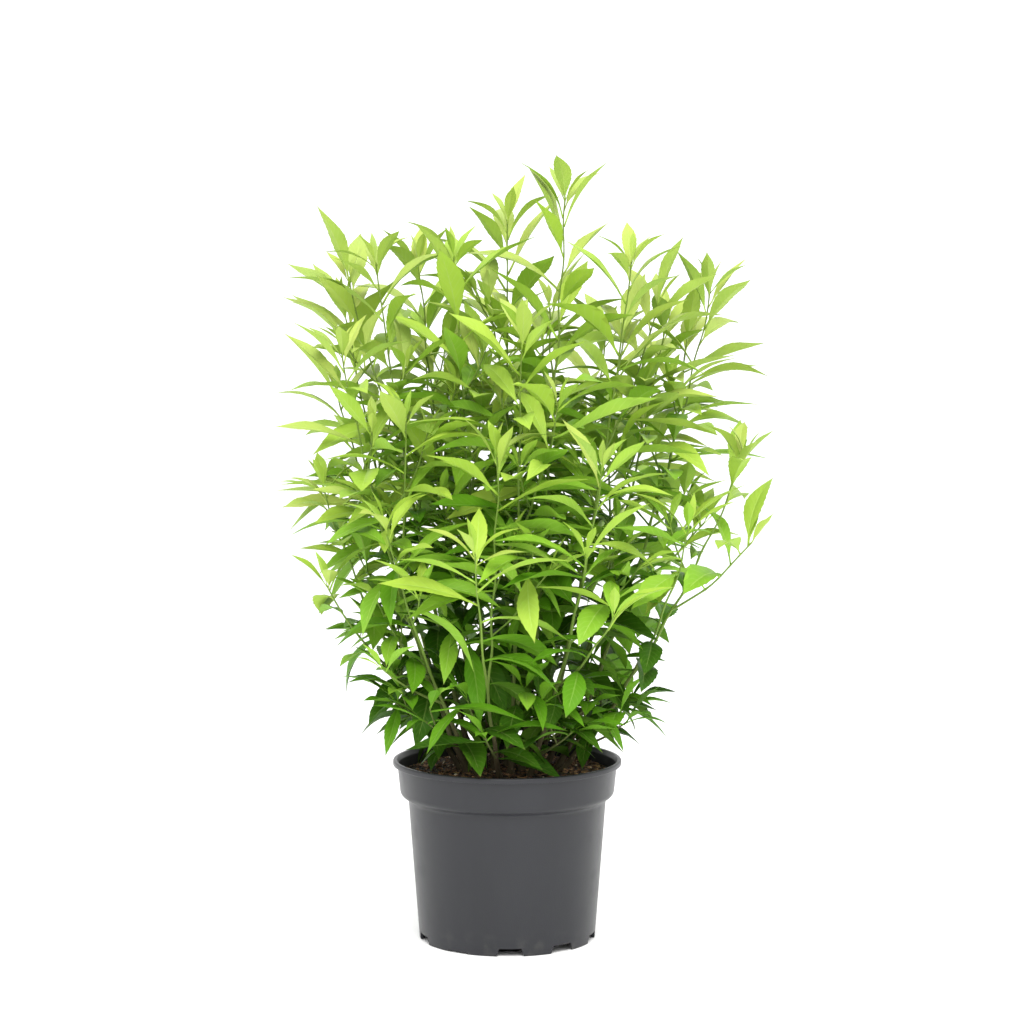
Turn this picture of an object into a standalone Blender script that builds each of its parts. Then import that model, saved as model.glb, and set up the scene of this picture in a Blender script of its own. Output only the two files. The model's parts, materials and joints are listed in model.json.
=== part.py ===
"""Potted night-blooming jasmine: a nursery pot full of soil, a clump of wand-like
stems rising from it, and the masses of lance-shaped leaves that the stems carry.

Metres, +Z up. The origin is the middle of the pot's flat underside, and -Y is the front.
"""

import math
import random

import bmesh
import bpy
from mathutils import Matrix, Vector
from mathutils.bvhtree import BVHTree

GAP = 0.0003  # between neighbouring pieces
UP = Vector((0.0, 0.0, 1.0))
GOLDEN_TURN = math.radians(137.5)
GOLDEN_SHARE = 0.618

# Pot
POT_HEIGHT = 0.181
POT_SIDES = 40
WALL = 0.0018
FOOT_RADIUS = 0.0886
BODY_TOP_RADIUS = 0.0995
BODY_TOP = 0.1410
BAND_BOTTOM_RADIUS = 0.1075
BAND_BOTTOM = 0.1470
BAND_TOP_RADIUS = 0.1105
BAND_TOP = 0.1755
LIP_RADIUS = 0.1150
LIP_THICK = 0.0052
EDGE_ROUND = 0.0010
# The shoulder from the body out to the band, in shares of its width and of its height
SHOULDER = ((0.0, 0.0), (0.38, 0.37), (0.88, 0.63), (1.0, 1.0))
SHOULDER_LIFT = 0.0008  # how much higher its inner side lies
FOOT_WALL = 0.0029
DISC_RADIUS = 0.0680  # the flat disc that the pot stands on
CHANNEL_RADIUS = 0.0700  # where the raised drain channel starts
CHANNEL_RISE = 0.0080
FLOOR_THICK = 0.0022
NOTCHES = 10
NOTCH_FOOT_WIDTH = 0.0280
NOTCH_TOP_WIDTH = 0.0220
NOTCH_DEPTH = 0.0060  # of its cutter, each way from the foot's outer face
NOTCH_BELOW = 0.0020  # how far its cutter reaches below the foot
SHALLOW_NOTCHES = (4, 9)
SHALLOW_RISE = 0.0020
FIRST_NOTCH = math.radians(2.0)  # from the front, anticlockwise from above

# Soil
SOIL_TOP = 0.1700
SOIL_EDGE = 0.1665
SOIL_FLAT_RADIUS = 0.0750

# Stems: each row is one stem, given by where its shoots end (across, depth, height).
# The first is the stem's own tip, the others fork from it inside its foliage.
FRONT_STEMS = (
    ((0.058, 0.000, 0.742), (0.036, 0.030, 0.600)),
    ((0.000, 0.060, 0.722), (0.020, 0.095, 0.585)),
    ((-0.052, -0.020, 0.684), (-0.024, 0.010, 0.560)),
    ((-0.090, 0.070, 0.680), (-0.060, 0.110, 0.590)),
    ((-0.130, -0.005, 0.678), (-0.160, 0.045, 0.662)),
    ((-0.160, -0.075, 0.590), (-0.096, -0.115, 0.526)),
    ((-0.184, -0.010, 0.455), (-0.176, -0.060, 0.362)),
    ((-0.115, -0.145, 0.430), (-0.118, -0.130, 0.290)),
    ((-0.030, -0.185, 0.405), (-0.008, -0.130, 0.497)),
    ((0.014, -0.090, 0.612), (0.050, -0.100, 0.540)),
    ((0.090, -0.145, 0.482), (0.100, -0.165, 0.345)),
    ((0.234, -0.026, 0.487), (0.176, -0.090, 0.420)),
    ((0.206, 0.040, 0.652), (0.184, 0.075, 0.600)),
    ((0.122, -0.030, 0.678), (0.150, 0.010, 0.640)),
)
STEM_SEED = 11
BACK_STEMS = 5
BACK_FROM, BACK_TO = math.radians(28), math.radians(152)
BACK_REACH = (0.165, 0.205)
BACK_HEIGHT = (0.560, 0.655)
BACK_FORK_TURN = math.radians(22)
BACK_FORK_DROP = 0.085
FOOT_SHARE = 0.25  # a stem's foot, as a share of how far out its tip is
FOOT_REACH = 0.055
STEM_SIDES = 6
STEM_RADIUS = 0.0034
SHORT_STEM = 0.72  # a low stem's radius, as a share of the tallest's
TALLEST = 0.560  # above the soil
TIP_RADIUS = 0.0011
STEM_RINGS = 6
FLARE = 0.55
LEAN_OUT = 0.62  # share of the way out that is covered
LEAN_UP = 0.42  # by this share of the height
FOOT_CLEAR = 0.02
STEM_END = 0.28  # share of the stem's own curve at which its foliage takes over

# Forks, twigs and low sprays
FORK_FROM = 0.06  # share of the stem's curve above its bare part
FORK_BELOW = 0.070  # how far below its tip a fork leaves the stem
FORK_SLANT = 1.5  # and how much further, for each metre that its tip is beside the stem
FORK_THICK = 0.72  # of the stem where it leaves
FORK_BEND = 0.45
FORK_OUT = 0.22
TWIG_SEED, LEAF_SEED, SPRAY_LEAF_SEED = 100, 200, 400
SPRAY_SEED = 28
SPRAY_STEP = 7  # one spray on every seventh stem, round and round
SPRAY_SWING = 0.9  # from the way that its stem leans
SPRAY_THICK = 0.6
SPRAY_OFF = 1.02  # stem radii from the stem's middle to the spray's foot, before the gap
SPRAY_BEND = (0.42, 0.62)  # shares of its length before and after its bend
SPRAY_RISE = (0.30, 0.85)  # outwards and upwards, past the bend
LOW_SPRAYS = 19
LOW_SPRAY_FROM, LOW_SPRAY_TO = 0.12, 0.92  # along the bare stem
LOW_SPRAY_LENGTH = (0.090, 0.135)
LOW_FORK_AT = 0.42
LOW_FORK_LENGTH = (0.060, 0.085)
TWIG_FROM = 0.170  # behind the tip of the shoot that bears it
TWIG_EVERY = 0.095
TWIG_LENGTH = (0.075, 0.120)
TWIG_FIRST = (0.90, 1.20)  # spread of where a shoot's first twig stands
TWIG_STEP = (0.85, 1.20)
TWIG_ROOM = 0.020  # no twig this near the foot of a shoot
TWIG_SLANT = (0.55, 0.85)
TWIG_RISE = (0.40, 0.75)
TWIG_THICK = 0.7
TWIG_SIDES = 3
LONG_SHOOT = 0.200  # a shoot longer than this takes more rings

# Leaves
LEAF_LENGTH = 0.088
LEAF_WIDTH = 0.33  # of its length
LEAF_THICK = 0.014  # of its length
LEAF_WIDEST = 0.42  # of its length from the root
LEAF_EVERY = 0.038  # on the upper shoots
LOW_LEAF_EVERY = 0.55  # share of that near the soil
LEAF_ROOM = 0.008  # no leaf this near the foot of a shoot
LEAF_SPREAD = (0.88, 1.14)  # of length
TURN_SPREAD = 0.2
LEAF_TRIES = 7
TRY_TURN, TRY_TILT, TRY_SHORTER = 0.45, 0.06, 0.04  # change from one try to the next
ROOT_SHARE = 0.22  # the part of a blade that may sit in its own shoot
BLADE_CLEAR = 0.0002
YOUNG = 0.48  # a tip leaf's length, as a share of a grown leaf's
YOUNG_EVERY = 0.30
GROWN_AFTER = 0.055  # behind the tip
OPEN_AFTER = 0.110
LEAF_TILT = (math.radians(20), math.radians(60))  # from the twig, young and old
LEAF_DROOP = (0.10, 0.80)
LEAF_ROLL = 0.60
LOW_HANG = 0.7
LOW_LEAVES = 0.330  # below this height the leaves hang more
DENSE_BELOW = 0.500  # and below this one they grow closer
# The crown's reach from the middle of the pot: (height, radius)
CROWN = ((0.17, 0.110), (0.20, 0.140), (0.30, 0.185), (0.38, 0.215), (0.46, 0.285), (0.80, 0.285))
WITHIN_LIP = 0.095
OVER_SOIL = 0.004  # a leaf's tip stays this far above the soil and the lip
CLEAR = 0.0007
HIGH, MIDDLE = 0.560, 0.360  # a mass whose tip is above these is young or grown green


def remove_everything():
    """Empties the scene."""
    for item in list(bpy.data.objects):
        bpy.data.objects.remove(item, do_unlink=True)


def finish(name, colour, roughness, metallic=0.0):
    """A plain Principled material."""
    made = bpy.data.materials.new(name)
    made.use_nodes = True
    shader = made.node_tree.nodes["Principled BSDF"]
    shader.inputs["Base Color"].default_value = (*colour, 1.0)
    shader.inputs["Roughness"].default_value = roughness
    shader.inputs["Metallic"].default_value = metallic
    return made


def new_object(name, points, faces, material=None, home=None):
    """A mesh object from its points and faces, in a collection of its own where one is given."""
    mesh = bpy.data.meshes.new(name)
    mesh.from_pydata([tuple(p) for p in points], [], faces)
    mesh.update()
    made = bpy.data.objects.new(name, mesh)
    (home or bpy.context.scene.collection).objects.link(made)
    if material:
        mesh.materials.append(material)
    return made


def shade_round(item, angle=40):
    """Smooth shading, with edges sharper than an angle in degrees kept."""
    item.data.shade_smooth()
    item.data.set_sharp_from_angle(angle=math.radians(angle))


def turned(profile, sides):
    """A closed outline of (radius, height) turned about Z. Points on the axis are single."""
    points, faces, rings = [], [], []
    for radius, height in profile:
        if radius == 0.0:
            rings.append([len(points)] * sides)
            points.append((0.0, 0.0, height))
            continue
        rings.append([len(points) + k for k in range(sides)])
        for k in range(sides):
            angle = math.tau * k / sides
            points.append((radius * math.sin(angle), -radius * math.cos(angle), height))
    for ring, after in zip(rings, rings[1:] + rings[:1]):
        for k in range(sides):
            n = (k + 1) % sides
            corners = list(dict.fromkeys((ring[k], ring[n], after[n], after[k])))
            if len(corners) > 2:
                faces.append(corners)
    return points, faces


def pot_profile():
    """From the middle of the underside, up the outer side, over the lip and down inside."""
    rise = CHANNEL_RISE
    wide, high = BAND_BOTTOM_RADIUS - BODY_TOP_RADIUS, BAND_BOTTOM - BODY_TOP
    return [
        (0.0, 0.0),
        (DISC_RADIUS, 0.0),
        (CHANNEL_RADIUS, rise),
        (FOOT_RADIUS - FOOT_WALL, rise),
        (FOOT_RADIUS - FOOT_WALL, 0.0),
        (FOOT_RADIUS, 0.0),
        *[(BODY_TOP_RADIUS + wide * out, BODY_TOP + high * up) for out, up in SHOULDER],
        (BAND_TOP_RADIUS, BAND_TOP),
        (LIP_RADIUS, POT_HEIGHT - LIP_THICK + EDGE_ROUND),
        (LIP_RADIUS, POT_HEIGHT - EDGE_ROUND * 1.5),
        (LIP_RADIUS - EDGE_ROUND * 1.5, POT_HEIGHT),
        (BAND_TOP_RADIUS + EDGE_ROUND, POT_HEIGHT),
        (BAND_TOP_RADIUS - WALL, BAND_TOP),
        (BAND_BOTTOM_RADIUS - WALL, BAND_BOTTOM + SHOULDER_LIFT),
        (BODY_TOP_RADIUS - WALL, BODY_TOP + SHOULDER_LIFT),
        (wall_inside(rise + FLOOR_THICK), rise + FLOOR_THICK),
        (CHANNEL_RADIUS - FLOOR_THICK, rise + FLOOR_THICK),
        (DISC_RADIUS - FLOOR_THICK, FLOOR_THICK),
        (0.0, FLOOR_THICK),
    ]


def wall_inside(height):
    """Inner radius of the pot's tapered body at a height."""
    share = height / BODY_TOP
    return FOOT_RADIUS + (BODY_TOP_RADIUS - FOOT_RADIUS) * share - WALL


def notch_cutter(angle, top, home):
    """A tapered block that cuts one drain notch through the pot's foot, up to a height."""
    bottom = top - CHANNEL_RISE - NOTCH_BELOW
    rows = []
    for radius in (FOOT_RADIUS - NOTCH_DEPTH, FOOT_RADIUS + NOTCH_DEPTH):
        for height, width in ((bottom, NOTCH_FOOT_WIDTH), (top, NOTCH_TOP_WIDTH)):
            for side in (-0.5, 0.5):
                rows.append(Vector((side * width, -radius, height)))
    turn = Matrix.Rotation(angle, 3, "Z")
    faces = [(0, 2, 3, 1), (4, 5, 7, 6), (0, 1, 5, 4), (2, 6, 7, 3), (0, 4, 6, 2), (1, 3, 7, 5)]
    cutter = new_object("notch_cutter", [turn @ p for p in rows], faces, home=home)
    cutter.hide_render = True
    cutter.display_type = "WIRE"
    recalculate(cutter.data)


def boolean(item, operation, cutters, solver="EXACT"):
    """The mesh that one Boolean with a collection of operands makes of an object."""
    step = item.modifiers.new("join", "BOOLEAN")
    step.operation = operation
    step.operand_type = "COLLECTION"
    step.collection = cutters
    step.solver = solver
    made = bpy.data.meshes.new_from_object(item.evaluated_get(bpy.context.evaluated_depsgraph_get()))
    item.modifiers.remove(step)
    return made


def gather(name):
    """A working collection."""
    home = bpy.data.collections.new(name)
    bpy.context.scene.collection.children.link(home)
    return home


def scatter(home):
    """Removes a working collection with its objects."""
    for item in list(home.objects):
        bpy.data.objects.remove(item, do_unlink=True)
    bpy.data.collections.remove(home)


def make_pot(material):
    """A thin-walled nursery pot with a banded rim, a flat lip and drain notches in its foot."""
    points, faces = turned(pot_profile(), POT_SIDES)
    pot = new_object("pot", points, faces, material)
    recalculate(pot.data)
    cutters = gather("cutters")
    for k in range(NOTCHES):
        top = SHALLOW_RISE if k in SHALLOW_NOTCHES else CHANNEL_RISE
        notch_cutter(FIRST_NOTCH + math.tau * k / NOTCHES, top, cutters)
    pot.data = boolean(pot, "DIFFERENCE", cutters)
    scatter(cutters)
    shade_round(pot)
    return pot


def recalculate(mesh):
    """Turns every face outwards."""
    work = bmesh.new()
    work.from_mesh(mesh)
    bmesh.ops.recalc_face_normals(work, faces=work.faces)
    work.to_mesh(mesh)
    work.free()


def make_soil(material):
    """Fills the pot to just under its lip, a gap clear of the wall, with a low mound."""
    floor, rise = FLOOR_THICK + GAP, CHANNEL_RISE + FLOOR_THICK + GAP
    lift = SHOULDER_LIFT + 2 * GAP
    inner = BAND_BOTTOM_RADIUS - WALL - GAP
    slope = (BAND_TOP_RADIUS - BAND_BOTTOM_RADIUS) / (BAND_TOP - BAND_BOTTOM)
    profile = [
        (0.0, floor),
        (DISC_RADIUS - FLOOR_THICK - GAP, floor),
        (CHANNEL_RADIUS - FLOOR_THICK - GAP, rise),
        (wall_inside(rise) - GAP, rise),
        (BODY_TOP_RADIUS - WALL - GAP, BODY_TOP + lift),
        (inner, BAND_BOTTOM + lift),
        (inner + slope * (SOIL_EDGE - BAND_BOTTOM) - GAP, SOIL_EDGE),
        (SOIL_FLAT_RADIUS, SOIL_TOP),
        (0.0, SOIL_TOP),
    ]
    points, faces = turned(profile, POT_SIDES)
    soil = new_object("soil", points, faces, material)
    recalculate(soil.data)
    shade_round(soil)
    return soil


class Shoot:
    """A stem, fork or twig: a quadratic curve that tapers."""

    def __init__(self, start, middle, end, thick):
        self.curve = (start, middle, end)
        self.thick = thick
        self.first = 0.0  # where its tube starts
        steps = [self.at(k / 16) for k in range(17)]
        self.length = sum((b - a).length for a, b in zip(steps, steps[1:]))
        self.rings = 6 if self.length > LONG_SHOOT else 4

    def at(self, share):
        """The point at a share of the curve."""
        start, middle, end = self.curve
        return start.lerp(middle, share).lerp(middle.lerp(end, share), share)

    def way(self, share):
        """The direction of growth there."""
        start, middle, end = self.curve
        return (middle - start).lerp(end - middle, share).normalized()

    def speed(self, share):
        """Metres of curve for each unit of share."""
        start, middle, end = self.curve
        return 2.0 * (middle - start).lerp(end - middle, share).length

    def radius(self, share):
        """Thickness tapers evenly to the tip."""
        return self.thick + (TIP_RADIUS - self.thick) * share

    def core(self, share):
        """The middle of the shoot's tube, whose runs between rings are straight."""
        step = (1.0 - self.first) / (self.rings - 1)
        ring = min(int((share - self.first) / step), self.rings - 2)
        before = self.first + ring * step
        return self.at(before).lerp(self.at(before + step), (share - before) / step)

    def share_at_height(self, height):
        """Where the shoot reaches a height, by halving."""
        low, high = 0.0, 1.0
        for _ in range(24):
            half = (low + high) / 2
            if self.at(half).z < height:
                low = half
            else:
                high = half
        return low


def tube(shoot, first, last, sides, rings, grow=0.0):
    """A closed tube along part of a shoot. Its end faces stand square to the curve."""
    points, faces = [], []
    side = shoot.way(first).orthogonal().normalized()
    for k in range(rings):
        share = first + (last - first) * k / (rings - 1)
        way = shoot.way(share)
        side = (side - way * side.dot(way)).normalized()
        other = way.cross(side)
        radius = shoot.radius(share) + grow
        for n in range(sides):
            angle = math.tau * n / sides
            ray = side * math.cos(angle) + other * math.sin(angle)
            points.append(shoot.at(share) + ray * radius)
    for k in range(rings - 1):
        for n in range(sides):
            a, b = k * sides + n, k * sides + (n + 1) % sides
            faces.append((a, b, b + sides, a + sides))
    faces.append(tuple(reversed(range(sides))))
    faces.append(tuple(range((rings - 1) * sides, rings * sides)))
    return points, faces


def stem_shoot(tip):
    """A stem's curve: out of the soil near the middle, leaning out, then turning up."""
    tip = Vector(tip)
    out = Vector((tip.x, tip.y, 0.0))
    foot = out * FOOT_SHARE
    if foot.length > FOOT_REACH:
        foot = foot.normalized() * FOOT_REACH
    foot.z = SOIL_TOP + GAP
    middle = foot + (out - Vector((foot.x, foot.y, 0.0))) * LEAN_OUT
    middle.z = foot.z + (tip.z - foot.z) * LEAN_UP
    vigour = SHORT_STEM + (1.0 - SHORT_STEM) * (tip.z - SOIL_TOP) / TALLEST
    stem = Shoot(foot, middle, tip, STEM_RADIUS * vigour)
    stem.first = STEM_END + GAP / stem.speed(STEM_END)
    return stem


def fork_shoot(stem, tip):
    """A second shoot that leaves the stem inside its foliage and ends at its own tip."""
    tip = Vector(tip)
    beside = (tip - stem.at(stem.share_at_height(tip.z))).length
    leaves_at = stem.share_at_height(tip.z - FORK_BELOW - FORK_SLANT * beside)
    share = max(STEM_END + FORK_FROM, leaves_at)
    start = stem.core(share)
    middle = start.lerp(tip, FORK_BEND)
    middle += Vector((tip.x - start.x, tip.y - start.y, 0.0)) * FORK_OUT
    return Shoot(start, middle, tip, stem.radius(share) * FORK_THICK)


def side_twig(parent, share, turn, length, rng):
    """A short twig that leaves its parent at a slant and bends up."""
    way = parent.way(share)
    side = way.orthogonal().normalized()
    side.rotate(Matrix.Rotation(turn, 3, way))
    start = parent.core(share)
    out = (side + way * rng.uniform(*TWIG_SLANT)).normalized()
    middle = start + out * length / 2
    end = middle + (out * TWIG_RISE[0] + UP * TWIG_RISE[1]).normalized() * length / 2
    return Shoot(start, middle, end, parent.radius(share) * TWIG_THICK)


def low_spray(stem, share, bearing, length):
    """A spray's stem: it starts clear of the side of a stem, goes out and bends up."""
    way = stem.way(share)
    out = Vector((math.sin(bearing), -math.cos(bearing), 0.0))
    out = (out - way * out.dot(way)).normalized()
    start = stem.at(share) + out * (stem.radius(share) * SPRAY_OFF + GAP)
    middle = start + out * length * SPRAY_BEND[0]
    rise = (out * SPRAY_RISE[0] + UP * SPRAY_RISE[1]).normalized()
    end = middle + rise * length * SPRAY_BEND[1]
    return Shoot(start, middle, end, stem.radius(share) * SPRAY_THICK)


class Mass:
    """One mass of foliage: its bough, its own stem and forks, and the twigs on them."""

    def __init__(self, name, bough, shoots, twigs, seed):
        self.name, self.bough = name, bough
        self.shoots, self.twigs = shoots, twigs
        self.rng = random.Random(seed)
        self.solids = []  # points and faces of each twig and leaf


class Space:
    """What the space already holds, so that a new twig or leaf can be kept clear of it."""

    def __init__(self):
        self.held = []

    def add(self, owner, points, faces):
        """Takes in a solid under its owner's name."""
        low, high = box_of(points)
        tree = BVHTree.FromPolygons([tuple(p) for p in points], faces)
        self.held.append((owner, low, high, tree))

    def meets(self, points, faces, keep=lambda owner: True):
        """Whether a solid meets anything held by an owner that keep accepts."""
        low, high = box_of(points)
        tree = None
        for owner, least, most, other in self.held:
            if not keep(owner) or any(low[k] > most[k] or high[k] < least[k] for k in range(3)):
                continue
            tree = tree or BVHTree.FromPolygons([tuple(p) for p in points], faces)
            if tree.overlap(other):
                return True
        return False


def box_of(points):
    """Lowest and highest corners round some points."""
    return (
        [min(p[k] for p in points) for k in range(3)],
        [max(p[k] for p in points) for k in range(3)],
    )


# Root, tip, left, right and keel: flat above, keeled below
LEAF_FACES = [(0, 3, 2), (1, 2, 3), (0, 2, 4), (0, 4, 3), (1, 4, 2), (1, 3, 4)]


class Leaf:
    """A lance-shaped blade that bends down at its widest, with a keel for its midrib."""

    def __init__(self, root, way, tilt, turn, length, droop, roll):
        side = way.orthogonal().normalized()
        side.rotate(Matrix.Rotation(turn, 3, way))
        self.root, self.length = root, length
        self.first = (way * math.cos(tilt) + side * math.sin(tilt)).normalized()
        self.second = (self.first - UP * droop).normalized()
        across = self.first.cross(UP)
        across = across.normalized() if across.length > 0.2 else side.cross(way).normalized()
        self.across = (Matrix.Rotation(roll, 3, self.first) @ across).normalized()
        self.over = self.across.cross(self.first).normalized()

    def solid(self, grow=0.0, from_share=0.0):
        """Points of the blade, thicker all round by grow, or only its part past from_share."""
        half = self.length * LEAF_WIDTH / 2 + grow
        middle = self.root + self.first * self.length * LEAF_WIDEST
        raised = middle + self.over * grow
        return [
            self.root.lerp(middle, from_share) + self.over * grow,
            middle + self.second * (self.length * (1.0 - LEAF_WIDEST) + grow) + self.over * grow,
            raised - self.across * half,
            raised + self.across * half,
            middle - self.over * (self.length * LEAF_THICK + grow),
        ]


def leaves_along(shoot, rng):
    """Leaves from the tip of a shoot down, small and upright first, then long and spread."""
    behind, turn = TIP_RADIUS * 3.0, rng.uniform(0.0, math.tau)
    found = []
    while behind < shoot.length * (1.0 - shoot.first) - LEAF_ROOM:
        share = 1.0 - behind / shoot.length
        grown = min(1.0, behind / GROWN_AFTER)
        opened = min(1.0, behind / OPEN_AFTER)
        height = shoot.at(share).z
        hang = max(0.0, (LOW_LEAVES - height) / (LOW_LEAVES - SOIL_TOP))
        length = LEAF_LENGTH * (YOUNG + (1.0 - YOUNG) * grown) * rng.uniform(*LEAF_SPREAD)
        tilt = LEAF_TILT[0] + (LEAF_TILT[1] - LEAF_TILT[0]) * opened
        droop = LEAF_DROOP[0] + (LEAF_DROOP[1] - LEAF_DROOP[0]) * opened
        roll = rng.uniform(-LEAF_ROLL, LEAF_ROLL)
        found.append((share, turn, length, tilt, droop + hang * LOW_HANG, roll))
        turn += GOLDEN_TURN + rng.uniform(-TURN_SPREAD, TURN_SPREAD)
        dense = min(1.0, max(0.0, (DENSE_BELOW - height) / (DENSE_BELOW - SOIL_TOP)))
        step = LEAF_EVERY * (YOUNG_EVERY + (1.0 - YOUNG_EVERY) * grown)
        behind += step * (1.0 - (1.0 - LOW_LEAF_EVERY) * dense)
    return found


def stems_and_masses():
    """Every stem's curve and every mass's shoots, from the named sizes and the seeds."""
    rng = random.Random(STEM_SEED)
    rows = [list(row) for row in FRONT_STEMS]
    for k in range(BACK_STEMS):
        bearing = BACK_FROM + (BACK_TO - BACK_FROM) * k / (BACK_STEMS - 1)
        reach, height = rng.uniform(*BACK_REACH), rng.uniform(*BACK_HEIGHT)
        beside = bearing + BACK_FORK_TURN * (-1) ** k
        rows.append([
            (reach * math.cos(bearing), reach * math.sin(bearing), height),
            (reach * 0.9 * math.cos(beside), reach * 0.9 * math.sin(beside), height - BACK_FORK_DROP),
        ])
    stems, masses = [], []
    for k, tips in enumerate(rows):
        stem = stem_shoot(tips[0])
        stems.append(stem)
        shoots = [stem] + [fork_shoot(stem, tip) for tip in tips[1:]]
        twigs = twigs_on(shoots, random.Random(TWIG_SEED + k))
        number = f"{k + 1:02d}"
        masses.append(Mass(f"foliage_{number}", f"stem_{number}", shoots, twigs, LEAF_SEED + k))
    rng = random.Random(SPRAY_SEED)
    for k in range(LOW_SPRAYS):
        number = k * SPRAY_STEP % len(stems)
        stem = stems[number]
        along = LOW_SPRAY_FROM + (LOW_SPRAY_TO - LOW_SPRAY_FROM) * (k * GOLDEN_SHARE % 1.0)
        share = STEM_END * along
        tip = stem.curve[2]
        bearing = math.atan2(tip.x, -tip.y) + rng.uniform(-SPRAY_SWING, SPRAY_SWING)
        spray = low_spray(stem, share, bearing, rng.uniform(*LOW_SPRAY_LENGTH))
        turn = rng.uniform(0.0, math.tau)
        twig = side_twig(spray, LOW_FORK_AT, turn, rng.uniform(*LOW_FORK_LENGTH), rng)
        bough = f"stem_{number + 1:02d}"
        masses.append(Mass(f"spray_{k + 1:02d}", bough, [spray], [twig], SPRAY_LEAF_SEED + k))
    return stems, masses


def twigs_on(shoots, rng):
    """Side twigs at even steps along the shoots, turned by the golden angle."""
    found = []
    for shoot in shoots:
        run = shoot.length * (1.0 - shoot.first)
        turn = rng.uniform(0.0, math.tau)
        behind = TWIG_FROM * rng.uniform(*TWIG_FIRST)
        while behind < run - TWIG_ROOM:
            share = 1.0 - behind / shoot.length
            length = rng.uniform(*TWIG_LENGTH)
            found.append(side_twig(shoot, share, turn, length, rng))
            turn += GOLDEN_TURN
            behind += TWIG_EVERY * rng.uniform(*TWIG_STEP)
    return found


def place_shoots(masses, space):
    """Main shoots first, then twigs. A twig that would meet anything is left out."""
    for mass in masses:
        for shoot in mass.shoots:
            # A mass's own stem starts a gap away from its bough, so the test leaves that out.
            beside = {mass.name, mass.bough} if shoot is mass.shoots[0] else {mass.name}
            if not place_shoot(mass, shoot, space, beside):
                print("a main shoot meets a neighbour:", mass.name, mass.shoots.index(shoot))
    for mass in masses:
        mass.shoots += [twig for twig in mass.twigs if place_shoot(mass, twig, space, {mass.name})]


def place_shoot(mass, shoot, space, beside):
    """Adds a shoot's tube unless, a little thicker, it meets anything but what it grows from."""
    points, faces = tube(shoot, shoot.first, 1.0, TWIG_SIDES, shoot.rings)
    wide, _ = tube(shoot, shoot.first, 1.0, TWIG_SIDES, shoot.rings, grow=CLEAR)
    if space.meets(wide, faces, keep=lambda owner: owner not in beside):
        return False
    mass.solids.append((points, faces))
    space.add(mass.name, points, faces)
    return True


def place_leaves(masses, space):
    """Leaves go on in turn, mass by mass, so that no mass takes all the room."""
    waiting = {}
    for mass in masses:
        rows = []
        for shoot in mass.shoots:
            rows += [(shoot, *row) for row in leaves_along(shoot, mass.rng)]
        waiting[mass.name] = rows
    placed = 0
    for turn_number in range(max(len(rows) for rows in waiting.values())):
        for mass in masses:
            rows = waiting[mass.name]
            if turn_number < len(rows) and place_leaf(mass, rows[turn_number], space):
                placed += 1
    print("leaves placed:", placed, "of", sum(len(rows) for rows in waiting.values()))


def place_leaf(mass, row, space):
    """Tries one leaf in a few directions, and keeps the first that meets nothing."""
    shoot, share, turn, length, tilt, droop, roll = row
    for trial in range(LEAF_TRIES):
        swing = TRY_TURN * trial * (-1) ** trial
        leaf = Leaf(
            shoot.core(share), shoot.way(share), tilt + TRY_TILT * trial, turn + swing,
            length * (1.0 - TRY_SHORTER * trial), droop, roll,
        )
        if not in_crown(leaf.solid()[1]):
            continue
        if space.meets(leaf.solid(grow=CLEAR), LEAF_FACES, keep=lambda owner: owner != mass.name):
            continue
        blade = leaf.solid(grow=BLADE_CLEAR, from_share=ROOT_SHARE)
        if space.meets(blade, LEAF_FACES, keep=lambda owner: owner == mass.name):
            continue
        points = leaf.solid()
        mass.solids.append((points, LEAF_FACES))
        space.add(mass.name, points, LEAF_FACES)
        return True
    return False


def closed(mesh):
    """Whether every edge of a mesh joins two faces."""
    work = bmesh.new()
    work.from_mesh(mesh)
    fine = bool(work.faces) and all(edge.is_manifold for edge in work.edges)
    work.free()
    return fine


def keep_main_shell(mesh):
    """Fills sealed hollows and drops loose scraps: only the largest shell stays."""
    work = bmesh.new()
    work.from_mesh(mesh)
    left, shells = set(work.faces), []
    while left:
        shell, edge_of = set(), [left.pop()]
        while edge_of:
            face = edge_of.pop()
            shell.add(face)
            for edge in face.edges:
                for beside in edge.link_faces:
                    if beside in left:
                        left.remove(beside)
                        edge_of.append(beside)
        shells.append(shell)
    main = max(shells, key=len)
    bmesh.ops.delete(work, geom=[f for s in shells if s is not main for f in s], context="FACES")
    work.to_mesh(mesh)
    work.free()


def in_crown(point):
    """Whether a leaf's tip is over the soil or the lip and within the crown's reach."""
    out = math.hypot(point.x, point.y)
    floor = SOIL_TOP if out < WITHIN_LIP else POT_HEIGHT
    if point.z < floor + OVER_SOIL:
        return False
    for (low, near), (high, far) in zip(CROWN, CROWN[1:]):
        if low <= point.z <= high:
            return out <= near + (far - near) * (point.z - low) / (high - low)
    return False


def make_mass(mass, material):
    """Fuses a mass's twigs and leaves into one solid."""
    points, faces = mass.solids[0]
    made = new_object(mass.name, points, faces, material)
    recalculate(made.data)
    home = gather(f"{mass.name}_parts")
    for k, (points, faces) in enumerate(mass.solids[1:]):
        recalculate(new_object(f"{mass.name}_part_{k}", points, faces, home=home).data)
    fused = boolean(made, "UNION", home)
    if not closed(fused):
        fused = boolean(made, "UNION", home, solver="MANIFOLD")
    scatter(home)
    keep_main_shell(fused)
    fused.materials.clear()
    fused.materials.append(material)
    made.data = fused
    return made


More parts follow.
